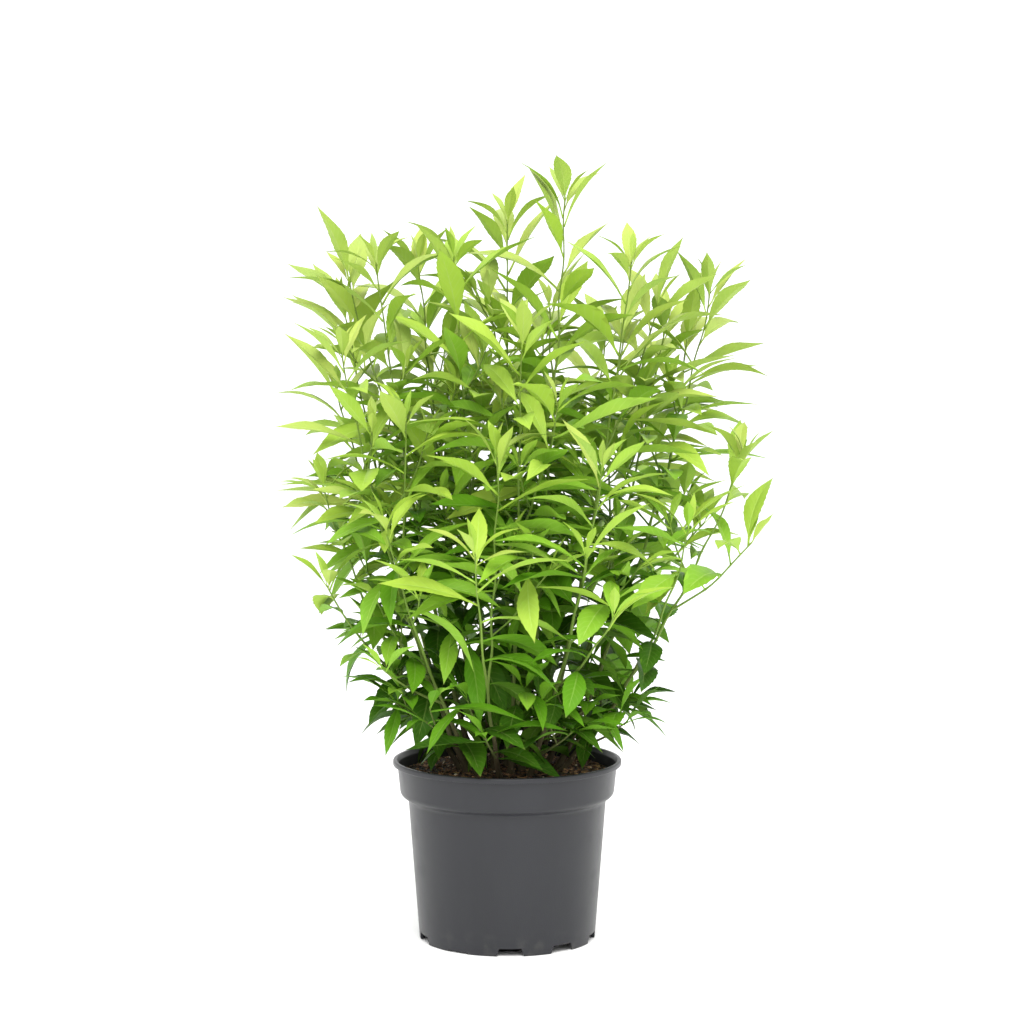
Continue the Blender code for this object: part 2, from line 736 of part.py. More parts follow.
def make_stem(number, stem, material):
    """The bare part of a stem, flared at its foot and cut flat on the soil."""
    points, faces = tube(stem, 0.0, STEM_END, STEM_SIDES, STEM_RINGS)
    middle = stem.at(0.0)
    for point in points[:STEM_SIDES]:
        ray = Vector((point.x - middle.x, point.y - middle.y, 0.0))
        point.xy = (middle + ray * (1.0 + FLARE)).xy
        point.z = middle.z
    made = new_object(f"stem_{number:02d}", points, faces, material)
    recalculate(made.data)
    shade_round(made, 60)
    return made, points, faces


def main():
    """Builds the pot, its soil, the stems and the masses of foliage."""
    remove_everything()
    plastic = finish("pot_plastic", (0.085, 0.088, 0.094), 0.42)
    compost = finish("compost", (0.030, 0.020, 0.013), 0.95)
    bark = finish("green_bark", (0.24, 0.30, 0.10), 0.60)
    greens = [
        finish("leaf_young", (0.36, 0.60, 0.07), 0.42),
        finish("leaf_grown", (0.15, 0.38, 0.04), 0.42),
        finish("leaf_low", (0.06, 0.20, 0.02), 0.42),
    ]
    space = Space()
    for item in (make_pot(plastic), make_soil(compost)):
        item.data.calc_loop_triangles()
        points = [v.co.copy() for v in item.data.vertices]
        faces = [tuple(t.vertices) for t in item.data.loop_triangles]
        space.add(item.name, points, faces)
    stems, masses = stems_and_masses()
    for k, stem in enumerate(stems):
        made, points, faces = make_stem(k + 1, stem, bark)
        wide, _ = tube(stem, FOOT_CLEAR, STEM_END, STEM_SIDES, STEM_RINGS, grow=CLEAR)
        if space.meets(wide, faces):
            print("a stem meets a neighbour:", made.name)
        space.add(made.name, points, faces)
    place_shoots(masses, space)
    place_leaves(masses, space)
    for mass in masses:
        height = mass.shoots[0].curve[2].z
        make_mass(mass, greens[(height < HIGH) + (height < MIDDLE)])


main()
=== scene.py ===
"""Looks of a potted night-blooming jasmine: pot, compost, bare stems, green shoots and leaves.

Metres, +Z up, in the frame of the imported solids: the origin is the middle of the pot's underside
and -Y is the front. Shoots grow by the same rule, sizes and seeds as the solids' own, and are
carried on to finer twigs and to leaves of their true size.
"""

import json
import logging
import math
import random
from dataclasses import dataclass, field
from enum import Enum

import bmesh
import bpy
import numpy as np
from mathutils import Matrix, Vector, noise
from mathutils.bvhtree import BVHTree

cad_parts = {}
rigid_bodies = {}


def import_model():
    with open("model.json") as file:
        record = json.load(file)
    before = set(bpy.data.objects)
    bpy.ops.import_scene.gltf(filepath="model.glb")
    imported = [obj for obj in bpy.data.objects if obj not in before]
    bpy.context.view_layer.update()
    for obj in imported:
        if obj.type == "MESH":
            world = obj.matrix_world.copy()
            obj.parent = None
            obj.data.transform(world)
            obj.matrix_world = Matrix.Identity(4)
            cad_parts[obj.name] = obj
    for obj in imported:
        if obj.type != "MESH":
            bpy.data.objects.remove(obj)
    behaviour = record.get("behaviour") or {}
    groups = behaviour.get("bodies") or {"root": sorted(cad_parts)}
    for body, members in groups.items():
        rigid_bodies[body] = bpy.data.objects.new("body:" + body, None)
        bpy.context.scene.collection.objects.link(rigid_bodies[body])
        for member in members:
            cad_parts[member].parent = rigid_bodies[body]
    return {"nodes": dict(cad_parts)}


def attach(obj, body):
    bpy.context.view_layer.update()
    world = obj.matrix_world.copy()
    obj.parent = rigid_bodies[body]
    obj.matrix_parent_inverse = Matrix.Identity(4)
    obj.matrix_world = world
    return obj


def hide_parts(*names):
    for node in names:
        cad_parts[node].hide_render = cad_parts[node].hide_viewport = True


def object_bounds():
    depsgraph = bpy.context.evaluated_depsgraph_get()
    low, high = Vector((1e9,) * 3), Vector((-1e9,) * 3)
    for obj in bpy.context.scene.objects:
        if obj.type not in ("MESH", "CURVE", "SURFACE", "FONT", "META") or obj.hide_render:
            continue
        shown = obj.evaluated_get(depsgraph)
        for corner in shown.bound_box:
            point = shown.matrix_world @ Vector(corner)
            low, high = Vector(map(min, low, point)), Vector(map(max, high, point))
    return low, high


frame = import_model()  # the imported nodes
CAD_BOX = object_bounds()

log = logging.getLogger("jasmine")

Colour = tuple[float, float, float]
Place = tuple[float, float, float]
Span = tuple[float, float]  # two numbers, mostly the ends of a range
Outline = list[Span]
Object = bpy.types.Object
Material = bpy.types.Material
GAP = 0.0003  # between neighbouring solids
UP = Vector((0.0, 0.0, 1.0))
GOLDEN_TURN = math.radians(137.5)
GOLDEN_SHARE = 0.618
ROOT = "root"  # the one body that everything rides on
LEAF_MAP = "OFBake"  # each leaf lies in one cell of this map
MAP_CELLS = 4  # cells each way
MAP_INSET = 0.90  # share of its half cell that one side of a leaf fills
ACROSS = (-1.0, -0.5, 0.0, 0.5, 1.0)  # a leaf's upper side, from margin to margin


def unit(value: float) -> float:
    """A number kept from 0 to 1."""
    return min(1.0, max(0.0, value))


def between(ends: Span, share: float) -> float:
    """The number at a share of the way between two others."""
    return ends[0] + (ends[1] - ends[0]) * share


# Node trees


class Value:
    """One output of a node. Python arithmetic on it adds Math nodes."""

    def __init__(self, graph: "Graph", node: bpy.types.Node, output: str | int = 0) -> None:
        """Keeps the node and the output that stands for the value.

        Args:
            graph: The tree that holds the node.
            node: The node.
            output: The output's name, identifier or number.
        """
        self.graph, self.node = graph, node
        self.socket = Graph.find(node.outputs, output)

    def of(self, output: str | int) -> "Value":
        """Another output of the same node."""
        return Value(self.graph, self.node, output)

    def math(self, operation: str, *others: "Value | float") -> "Value":
        """A Math node on this value and others."""
        inputs = dict(enumerate((self, *others)))
        return self.graph.node("ShaderNodeMath", {"operation": operation}, inputs)

    def step(self, low: float, high: float) -> "Value":
        """0 at low, 1 at high, and smooth between them."""
        inputs = {"Value": self, "From Min": low, "From Max": high}
        return self.graph.node("ShaderNodeMapRange", {"interpolation_type": "SMOOTHSTEP"}, inputs)

    def __add__(self, other: "Value | float") -> "Value":
        """Sum."""
        return self.math("ADD", other)

    def __sub__(self, other: "Value | float") -> "Value":
        """Difference."""
        return self.math("SUBTRACT", other)

    def __mul__(self, other: "Value | float") -> "Value":
        """Product."""
        return self.math("MULTIPLY", other)

    def __truediv__(self, other: "Value | float") -> "Value":
        """Quotient."""
        return self.math("DIVIDE", other)

    def __rsub__(self, other: float) -> "Value":
        """A number less this value."""
        inputs = {0: other, 1: self}
        return self.graph.node("ShaderNodeMath", {"operation": "SUBTRACT"}, inputs)

    __radd__ = __add__
    __rmul__ = __mul__


class Graph:
    """A shader or geometry tree, to which one method adds every node."""

    def __init__(self, tree: bpy.types.NodeTree) -> None:
        """Wraps a tree."""
        self.tree = tree

    @staticmethod
    def find(sockets: bpy.types.bpy_prop_collection, key: str | int) -> bpy.types.NodeSocket:
        """Finds a socket.

        Args:
            sockets: A node's inputs or outputs.
            key: Its number, identifier or name. Where a name is shared, the enabled one counts.

        Returns:
            The socket.
        """
        if isinstance(key, int):
            return sockets[key]
        named = [s for s in sockets if s.identifier == key]
        named += [s for s in sockets if s.name == key and s.enabled]
        if not named:
            raise KeyError(f"no socket {key!r} among {[s.name for s in sockets]}")
        return named[0]

    def node(
        self,
        kind: str,
        settings: dict[str, object] | None = None,
        inputs: dict[str | int, object] | None = None,
        output: str | int = 0,
    ) -> Value | None:
        """Adds a node.

        Args:
            kind: Its type.
            settings: Its own settings, which are set first.
            inputs: A value or a link for each input, by name, identifier or number.
            output: The output that is given back.

        Returns:
            That output, or None where the node has no outputs.
        """
        made = self.tree.nodes.new(kind)
        for key, value in (settings or {}).items():
            setattr(made, key, value)
        for key, value in (inputs or {}).items():
            socket = self.find(made.inputs, key)
            if isinstance(value, Value):
                self.tree.links.new(value.socket, socket)
            elif socket.type == "RGBA":
                socket.default_value = (*value[:3], 1.0)
            else:
                socket.default_value = value
        return Value(self, made, output) if made.outputs else None

    def vector(self, operation: str, *inputs: object, output: str | int = 0) -> Value:
        """A Vector Math node on vectors."""
        inputs = dict(enumerate(inputs))
        return self.node("ShaderNodeVectorMath", {"operation": operation}, inputs, output)

    def scaled(self, vector: Value, factor: Value | float) -> Value:
        """A vector times a number."""
        inputs = {0: vector, "Scale": factor}
        return self.node("ShaderNodeVectorMath", {"operation": "SCALE"}, inputs)

    def length(self, vector: Value) -> Value:
        """The length of a vector."""
        return self.vector("LENGTH", vector, output="Value")

    def parts(self, vector: Value) -> tuple[Value, Value, Value]:
        """The X, Y and Z of a vector."""
        split = self.node("ShaderNodeSeparateXYZ", None, {0: vector})
        return split.of("X"), split.of("Y"), split.of("Z")

    def noise(self, at: Value, scale: Value | float, detail: float) -> Value:
        """Cloudy noise from 0 to 1."""
        inputs = {"Vector": at, "Scale": scale, "Detail": detail}
        return self.node("ShaderNodeTexNoise", None, inputs, "Fac")


class Skin(Graph):
    """A material's tree, which ends in one Principled shader."""

    def __init__(self, name: str) -> None:
        """Makes an empty material."""
        self.material = bpy.data.materials.new(name)
        self.material.use_nodes = True
        super().__init__(self.material.node_tree)
        self.tree.nodes.clear()

    def place(self, stretch: Place = (1.0, 1.0, 1.0)) -> Value:
        """Object coordinates, stretched along each axis."""
        at = self.node("ShaderNodeTexCoord", None, None, "Object")
        return self.node("ShaderNodeMapping", None, {"Vector": at, "Scale": stretch})

    def spots(self, at: Value, scale: float) -> Value:
        """Distance to the nearest of many scattered points."""
        return self.node("ShaderNodeTexVoronoi", None, {"Vector": at, "Scale": scale}, "Distance")

    def blend(self, share: Value | float, first: object, second: object) -> Value:
        """A colour between two others."""
        inputs = {"Factor_Float": share, "A_Color": first, "B_Color": second}
        return self.node("ShaderNodeMix", {"data_type": "RGBA"}, inputs, "Result_Color")

    def bump(self, height: Value, distance: float, strength: float = 1.0) -> Value:
        """A normal that a height in metres tilts."""
        inputs = {"Height": height, "Distance": distance, "Strength": strength}
        return self.node("ShaderNodeBump", None, inputs)

    def shader(
        self, colour: object, roughness: object, normal: Value | None, **fixed: float
    ) -> Value:
        """The Principled shader.

        Args:
            colour: Base colour.
            roughness: Roughness.
            normal: The bumped normal, if there is one.
            **fixed: Other inputs, by name with underscores for spaces.

        Returns:
            The shader.
        """
        inputs = {"Base Color": colour, "Roughness": roughness}
        if normal:
            inputs["Normal"] = normal
        inputs |= {key.replace("_", " "): value for key, value in fixed.items()}
        return self.node("ShaderNodeBsdfPrincipled", None, inputs)

    def close(self, shader: Value) -> Material:
        """Joins a shader to the output and gives the material."""
        self.node("ShaderNodeOutputMaterial", None, {"Surface": shader})
        return self.material


class Recipe(Graph):
    """A geometry tree with named inputs, used on one object and then taken off it."""

    def __init__(self, name: str) -> None:
        """Makes an empty tree that takes and gives geometry."""
        super().__init__(bpy.data.node_groups.new(name, "GeometryNodeTree"))
        self.values: dict[str, object] = {}
        for way in ("INPUT", "OUTPUT"):
            self.socket("Geometry", way, "Geometry")

    def socket(self, name: str, way: str, kind: str) -> str:
        """Adds an input or output to the tree and gives its identifier."""
        kind = f"NodeSocket{kind}"
        return self.tree.interface.new_socket(name, in_out=way, socket_type=kind).identifier

    def takes(self, facts: dict[str, tuple[str, object]]) -> Value:
        """Adds the tree's named inputs.

        Args:
            facts: For each input's name the end of its socket's type, such as Float or Object,
                and the value that the modifier sets.

        Returns:
            The geometry that comes in. The named inputs are reached with its of.
        """
        for name, (kind, value) in facts.items():
            self.values[self.socket(name, "INPUT", kind)] = value
        return self.node("NodeGroupInput")

    def attribute(self, name: str, kind: str) -> Value:
        """A named attribute of the geometry."""
        return self.node("GeometryNodeInputNamedAttribute", {"data_type": kind}, {"Name": name})

    def shapes(self, collection: Value) -> Value:
        """The shapes of a collection, each by itself."""
        inputs = {"Collection": collection, "Separate Children": True, "Reset Children": True}
        return self.node("GeometryNodeCollectionInfo", None, inputs)

    def real(self, geometry: Value) -> Value:
        """Instances turned into geometry of their own."""
        return self.node("GeometryNodeRealizeInstances", None, {0: geometry})

    def laid(
        self, points: Value, shape: Value, turn: Value, more: dict[str, object] | None = None
    ) -> Value:
        """Puts a shape on every point.

        Args:
            points: The points.
            shape: The shape, or the shapes to pick from.
            turn: How it is turned at each.
            more: Further inputs of Instance on Points.

        Returns:
            The copies, which are real geometry.
        """
        inputs = {"Points": points, "Instance": shape, "Rotation": turn} | (more or {})
        return self.real(self.node("GeometryNodeInstanceOnPoints", None, inputs))

    def dressed(self, geometry: Value, finish: Value, where: Value | bool = True) -> Value:
        """Geometry that wears a material, all over or where it is told to."""
        inputs = {"Geometry": geometry, "Selection": where, "Material": finish}
        return self.node("GeometryNodeSetMaterial", None, inputs)

    def grow(self, item: Object, geometry: Value) -> None:
        """Ends the tree, evaluates it on an object and keeps the result as that object's mesh.

        Args:
            item: The object, which is left with a plain mesh and no modifier.
            geometry: The finished geometry.
        """
        self.node("NodeGroupOutput", None, {0: geometry})
        step = item.modifiers.new(self.tree.name, "NODES")
        step.node_group = self.tree
        for identifier, value in self.values.items():
            step[identifier] = value
        bpy.context.view_layer.update()
        shown = item.evaluated_get(bpy.context.evaluated_depsgraph_get())
        mesh = bpy.data.meshes.new_from_object(shown)
        item.modifiers.remove(step)
        item.data = mesh


# Meshes


def linked(name: str, data: bpy.types.ID) -> Object:
    """Makes an object of a mesh, lamp or camera and links it to the scene."""
    made = bpy.data.objects.new(name, data)
    bpy.context.scene.collection.objects.link(made)
    return made


def mesh_object(name: str, points: list, faces: list, edges: list | None = None) -> Object:
    """Makes an object from points and faces, or from points and edges.

    Args:
        name: The object's name.
        points: Its points.
        faces: Its faces, as numbers of points.
        edges: Its edges, where it has no faces.

    Returns:
        The object, linked to the scene.
    """
    mesh = bpy.data.meshes.new(name)
    mesh.from_pydata([tuple(p) for p in points], edges or [], faces)
    mesh.update()
    return linked(name, mesh)


def mark(mesh: bpy.types.Mesh, name: str, kind: str, domain: str, values: list) -> None:
    """Adds a named attribute, with a value or three for each point, edge or face."""
    layer = mesh.attributes.new(name, kind, domain)
    layer.data.foreach_set("vector" if kind == "FLOAT_VECTOR" else "value", values)


def unmark(mesh: bpy.types.Mesh, *names: str) -> None:
    """Removes named attributes, as far as the mesh has them."""
    for name in names:
        if name in mesh.attributes:
            mesh.attributes.remove(mesh.attributes[name])


def forget(shapes: bpy.types.Collection) -> None:
    """Removes a collection and every object in it."""
    for item in list(shapes.objects):
        bpy.data.objects.remove(item, do_unlink=True)
    bpy.data.collections.remove(shapes)


def face_out(item: Object) -> None:
    """Merges doubles and turns every face outwards.

    Args:
        item: An object with closed shells.
    """
    work = bmesh.new()
    work.from_mesh(item.data)
    bmesh.ops.remove_doubles(work, verts=work.verts, dist=1e-6)
    bmesh.ops.recalc_face_normals(work, faces=work.faces)
    work.to_mesh(item.data)
    work.free()


def shade_round(item: Object, angle: float) -> None:
    """Smooth shading that keeps edges sharper than an angle in degrees."""
    item.data.shade_smooth()
    item.data.set_sharp_from_angle(angle=math.radians(angle))


def turned(profile: Outline, sides: int) -> tuple[list[Vector], list[tuple[int, ...]]]:
    """Turns a closed outline about Z.

    Args:
        profile: Radius and height of each point. A point on the axis is a single one.
        sides: Steps round the axis.

    Returns:
        Points and faces.
    """
    points, rings, faces = [], [], []
    for radius, height in profile:
        count = 1 if radius == 0.0 else sides
        ring = [len(points) + k % count for k in range(sides)]
        rings.append(ring)
        for k in range(count):
            angle = math.tau * k / sides
            points.append(Vector((radius * math.sin(angle), -radius * math.cos(angle), height)))
    for ring, after in zip(rings, rings[1:] + rings[:1]):
        for k in range(sides):
            n = (k + 1) % sides
            corners = tuple(dict.fromkeys((ring[k], ring[n], after[n], after[k])))
            if len(corners) > 2:
                faces.append(corners)
    return points, faces


def rounded(corners: list[Place], steps: int = 4, most: float = 0.45) -> Outline:
    """Rounds the corners of a closed outline.

    Args:
        corners: Radius, height and the length that the rounding takes of each side.
        steps: Straight runs in a rounding.
        most: Share of a side that one rounding takes at most.

    Returns:
        The outline's points.
    """
    outline = []
    for k, (radius, height, trim) in enumerate(corners):
        here = Vector((radius, height))
        if trim == 0.0:
            outline.append((radius, height))
            continue
        ends = []
        for other in (corners[k - 1], corners[(k + 1) % len(corners)]):
            side = Vector(other[:2]) - here
            ends.append(here + side.normalized() * min(trim, side.length * most))
        for n in range(steps + 1):
            share = n / steps
            point = ends[0].lerp(here, share).lerp(here.lerp(ends[1], share), share)
            outline.append((point.x, point.y))
    return outline


# Finishes


def mixed(first: Colour, second: Colour, share: float) -> Colour:
    """A plain colour between two others."""
    return tuple((1.0 - share) * a + share * b for a, b in zip(first, second))


def toned(colour: Colour, by: Colour) -> Colour:
    """A colour with its red, green and blue each multiplied."""
    return tuple(part * factor for part, factor in zip(colour, by))


@dataclass(frozen=True)
class PotPlastic:
    """Dark grey moulded plastic with a satin skin, dulled by fine dust low down, with painted shade
    under the foot and down inside.
    """

    colour: Colour = (0.0185, 0.0190, 0.0228)
    flow_tone: Colour = (1.16, 1.16, 1.16)  # how much lighter its flow marks are
    painted_shade: Colour = (0.004, 0.004, 0.004)  # painted shade, under the foot and down inside
    dust: Colour = (0.075, 0.072, 0.066)
    flow_scale: float = 26.0
    patch_scale: float = 60.0
    grain_scale: float = 900.0
    relief: float = 0.0003
    roughness: float = 0.30
    dusty_below: float = 0.030
    dustiness: float = 0.4
    under_radii: Span = (0.083, 0.0865)  # between which the painted shade under the foot fades out
    under_heights: Span = (0.010, 0.014)
    inside_radii: Span = (0.1088, 0.1094)
    inside_heights: Span = (0.1640, 0.1665)

    def material(self) -> Material:
        """Base colour with faint flow marks, dust and painted shade, and a fine grain in the bump.

        Returns:
            The material.
        """
        skin = Skin("pot_plastic")
        at = skin.place()
        _, _, height = skin.parts(at)
        flow = skin.noise(skin.place((1.0, 1.0, 0.25)), self.flow_scale, 4.0)
        marks = toned(self.colour, self.flow_tone)
        colour = skin.blend(flow.step(0.30, 0.75), self.colour, marks)
        patches = skin.noise(at, self.patch_scale, 5.0).step(0.45, 0.75)
        low = 1.0 - height.step(0.0, self.dusty_below)
        colour = skin.blend(patches * low * self.dustiness, colour, self.dust)
        out = skin.length(skin.place((1.0, 1.0, 0.0)))
        # Painted shade: the underside of the foot and the inner wall above the compost go near
        # black.
        under = (1.0 - out.step(*self.under_radii)) * (1.0 - height.step(*self.under_heights))
        inside = (1.0 - out.step(*self.inside_radii)) * height.step(*self.inside_heights)
        colour = skin.blend(under.math("MAXIMUM", inside), colour, self.painted_shade)
        grain = skin.noise(at, self.grain_scale, 2.0)
        rough = self.roughness + flow * 0.10 + patches * 0.06 + inside * 0.3
        normal = skin.bump(grain * 0.7 + flow * 0.3, self.relief, 0.35)
        return skin.close(skin.shader(colour, rough, normal, IOR=1.39))


@dataclass(frozen=True)
class Compost:
    """Damp, very dark bed of fine coir and bark."""

    colour: Colour = (0.006, 0.003, 0.002)
    light: Colour = (0.075, 0.040, 0.017)
    clump_scale: float = 180.0
    crumb_scale: float = 420.0
    relief: float = 0.002
    roughness: float = 0.93

    def material(self) -> Material:
        """Mottled brown with a rough, crumbly bump.

        Returns:
            The material.
        """
        skin = Skin("compost_bed")
        at = skin.place()
        clumps = skin.noise(at, self.clump_scale, 6.0)
        crumbs = skin.spots(at, self.crumb_scale)
        colour = skin.blend(clumps.step(0.42, 0.72), self.colour, self.light)
        normal = skin.bump(clumps * 0.6 + crumbs * 0.4, self.relief, 0.9)
        return skin.close(skin.shader(colour, self.roughness, normal))


@dataclass(frozen=True)
class Crumb:
    """Skin of one kind of bit that lies in the compost."""

    name: str
    colour: Colour
    light: Colour
    roughness: float
    tone_scale: float = 140.0
    fibre_scale: float = 700.0
    relief: float = 0.0006

    def material(self) -> Material:
        """Two tones that change from bit to bit, with a fibrous bump.

        Returns:
            The material.
        """
        skin = Skin(self.name)
        tone = skin.noise(skin.place(), self.tone_scale, 2.0).step(0.35, 0.65)
        fibre = skin.noise(skin.place((1.0, 1.0, 3.0)), self.fibre_scale, 3.0)
        colour = skin.blend(tone * 0.8 + fibre * 0.2, self.colour, self.light)
        normal = skin.bump(fibre, self.relief, 0.7)
        return skin.close(skin.shader(colour, self.roughness, normal))


@dataclass(frozen=True)
class Bark:
    """Skin of stems and shoots: tan and corky at the soil, then green up to the tip."""

    name: str
    corky: Colour = (0.080, 0.064, 0.035)
    green: Colour = (0.175, 0.285, 0.045)
    fresh: Colour = (0.140, 0.215, 0.034)
    pore: Colour = (0.42, 0.34, 0.22)
    ridge_tone: Colour = (0.55, 0.55, 0.55)  # of the corky colour
    corky_to: float = 0.190
    green_from: float = 0.340
    fresh_from: float = 0.620
    ridge_scale: float = 900.0
    blotch_scale: float = 120.0
    pore_scale: float = 300.0
    relief: float = 0.0005
    roughness: float = 0.50
    corky_rough: float = 0.25  # added to it where bark is corky

    def material(self) -> Material:
        """Colour by height, with lengthwise ridges and pale pores.

        Returns:
            The material.
        """
        skin = Skin(self.name)
        _, _, height = skin.parts(skin.place())
        ridges = skin.noise(skin.place((1.0, 1.0, 0.10)), self.ridge_scale, 3.0)
        blotch = skin.noise(skin.place((1.0, 1.0, 0.4)), self.blotch_scale, 4.0)
        grown = (height + blotch * 0.06 - 0.03).step(self.corky_to, self.green_from)
        colour = skin.blend(grown, self.corky, self.green)
        colour = skin.blend(height.step(self.green_from, self.fresh_from), colour, self.fresh)
        dark = toned(self.corky, self.ridge_tone)
        colour = skin.blend(ridges.step(0.40, 0.80) * 0.25, colour, dark)
        spots = skin.spots(skin.place((1.0, 1.0, 0.45)), self.pore_scale)
        pores = 1.0 - spots.step(0.10, 0.22)
        colour = skin.blend(pores * (1.0 - grown * 0.8) * 0.35, colour, self.pore)
        normal = skin.bump(ridges * 0.7 + pores * 0.3, self.relief, 0.6)
        rough = self.roughness + self.corky_rough * (1.0 - grown)
        return skin.close(skin.shader(colour, rough, normal, Specular_IOR_Level=0.15))


class Side(Enum):
    """The two sides of a leaf, with the half of a map cell that each fills."""

    TOP = 0
    UNDER = 1


class Tint(Enum):
    """Greens of the leaves, from the newest to the oldest, the darker ones also serving as painted
    shade low down and inside the crown.
    """

    TIP = 0
    LIGHT = 1
    MIDDLE = 2
    DEEP = 3
    DARK = 4

    @classmethod
    def of(cls, shade: float) -> "Tint":
        """The tint for a shade from 0, newest and unshaded, to 1, oldest and deepest in painted
        shade.
        """
        limits = (0.18, 0.40, 0.62, 0.83)
        return cls(sum(shade > limit for limit in limits))


LEAF_GREENS = {
    Tint.TIP: (0.350, 0.455, 0.094),
    Tint.LIGHT: (0.310, 0.464, 0.058),
    Tint.MIDDLE: (0.202, 0.390, 0.030),
    Tint.DEEP: (0.090, 0.236, 0.010),
    Tint.DARK: (0.036, 0.106, 0.006),
}


@dataclass(frozen=True)
class LeafSkin:
    """One side of a leaf: its green, pale midrib, side veins and soft gloss, and on the underside
    painted light for light coming through.
    """

    tint: Tint
    side: Side
    veins: float = 11.0  # along the blade
    vein_slant: float = 2.0  # how many of them a side vein crosses on its way out
    pale: Colour = (0.52, 0.68, 0.20)  # towards which the veins go
    pale_shares: Span = (0.35, 0.20)  # in new leaves and in old
    under: Colour = (0.38, 0.67, 0.07)  # towards which an underside goes: paler, and lighter still as painted light for light coming through the leaf
    under_shares: Span = (0.24, 0.10)  # in new leaves and in old
    tip: Colour = (0.16, 0.17, 0.05)
    lighter: Colour = (1.14, 1.07, 1.00)  # how far leaves differ from their green
    darker: Colour = (0.82, 0.90, 0.95)
    midrib: Span = (0.04, 0.115)  # half widths between which it fades
    midrib_shows: float = 0.74
    veins_show: Span = (0.20, 0.34)  # above and below
    relief: float = 0.0002
    roughness: Span = (0.40, 0.56)  # above and below
    gloss: Span = (0.15, 0.07)  # of new leaves and of old

    def material(self) -> Material:
        """Everything is laid out on the leaf's own map, cell by cell.

        Returns:
            The material.
        """
        skin = Skin(f"leaf_{self.tint.name.lower()}_{self.side.name.lower()}")
        below = self.side is Side.UNDER
        old = self.tint.value > Tint.MIDDLE.value
        base = LEAF_GREENS[self.tint]
        pale = mixed(base, self.pale, self.pale_shares[old])
        # Undersides: paler, plus painted light that stands in for light shining through the blade.
        if below:
            base = mixed(base, self.under, self.under_shares[old])
        cells = skin.scaled(skin.node("ShaderNodeUVMap", {"uv_map": LEAF_MAP}), MAP_CELLS)
        number = {"Vector": skin.vector("FLOOR", cells)}
        tone = skin.node("ShaderNodeTexWhiteNoise", {"noise_dimensions": "2D"}, number)
        across, along, _ = skin.parts(skin.vector("FRACTION", cells))
        out = (((across * 2.0).math("FRACT") - 0.5) * (2.0 / MAP_INSET)).math("ABSOLUTE")
        along = (along - (1.0 - MAP_INSET) / 2.0) / MAP_INSET
        midrib = 1.0 - (out + along * 0.05).step(*self.midrib)
        lines = (along * self.veins - out * self.vein_slant).math("FRACT")
        lines = (lines - 0.5).math("ABSOLUTE")
        fades = (1.0 - out.step(0.55, 1.0)) * along.step(0.05, 0.20)
        vein = (1.0 - lines.step(0.04, 0.15)) * fades
        cloud = skin.noise(cells, 4.0, 1.0)
        light, dark = toned(base, self.lighter), toned(base, self.darker)
        colour = skin.blend(tone * 0.75 + cloud.step(0.30, 0.70) * 0.25, dark, light)
        paler = midrib * self.midrib_shows + vein * self.veins_show[below]
        colour = skin.blend(paler, colour, pale)
        colour = skin.blend(along.step(0.93, 1.0) * 0.6, colour, self.tip)
        pillow = lines.step(0.0, 0.5) * fades
        normal = skin.bump(pillow * 0.5 - midrib * (-1.0 if below else 1.0), self.relief, 0.40)
        rough = self.roughness[below] + cloud * 0.10
        return skin.close(skin.shader(colour, rough, normal, Specular_IOR_Level=self.gloss[old]))


# Pot and compost


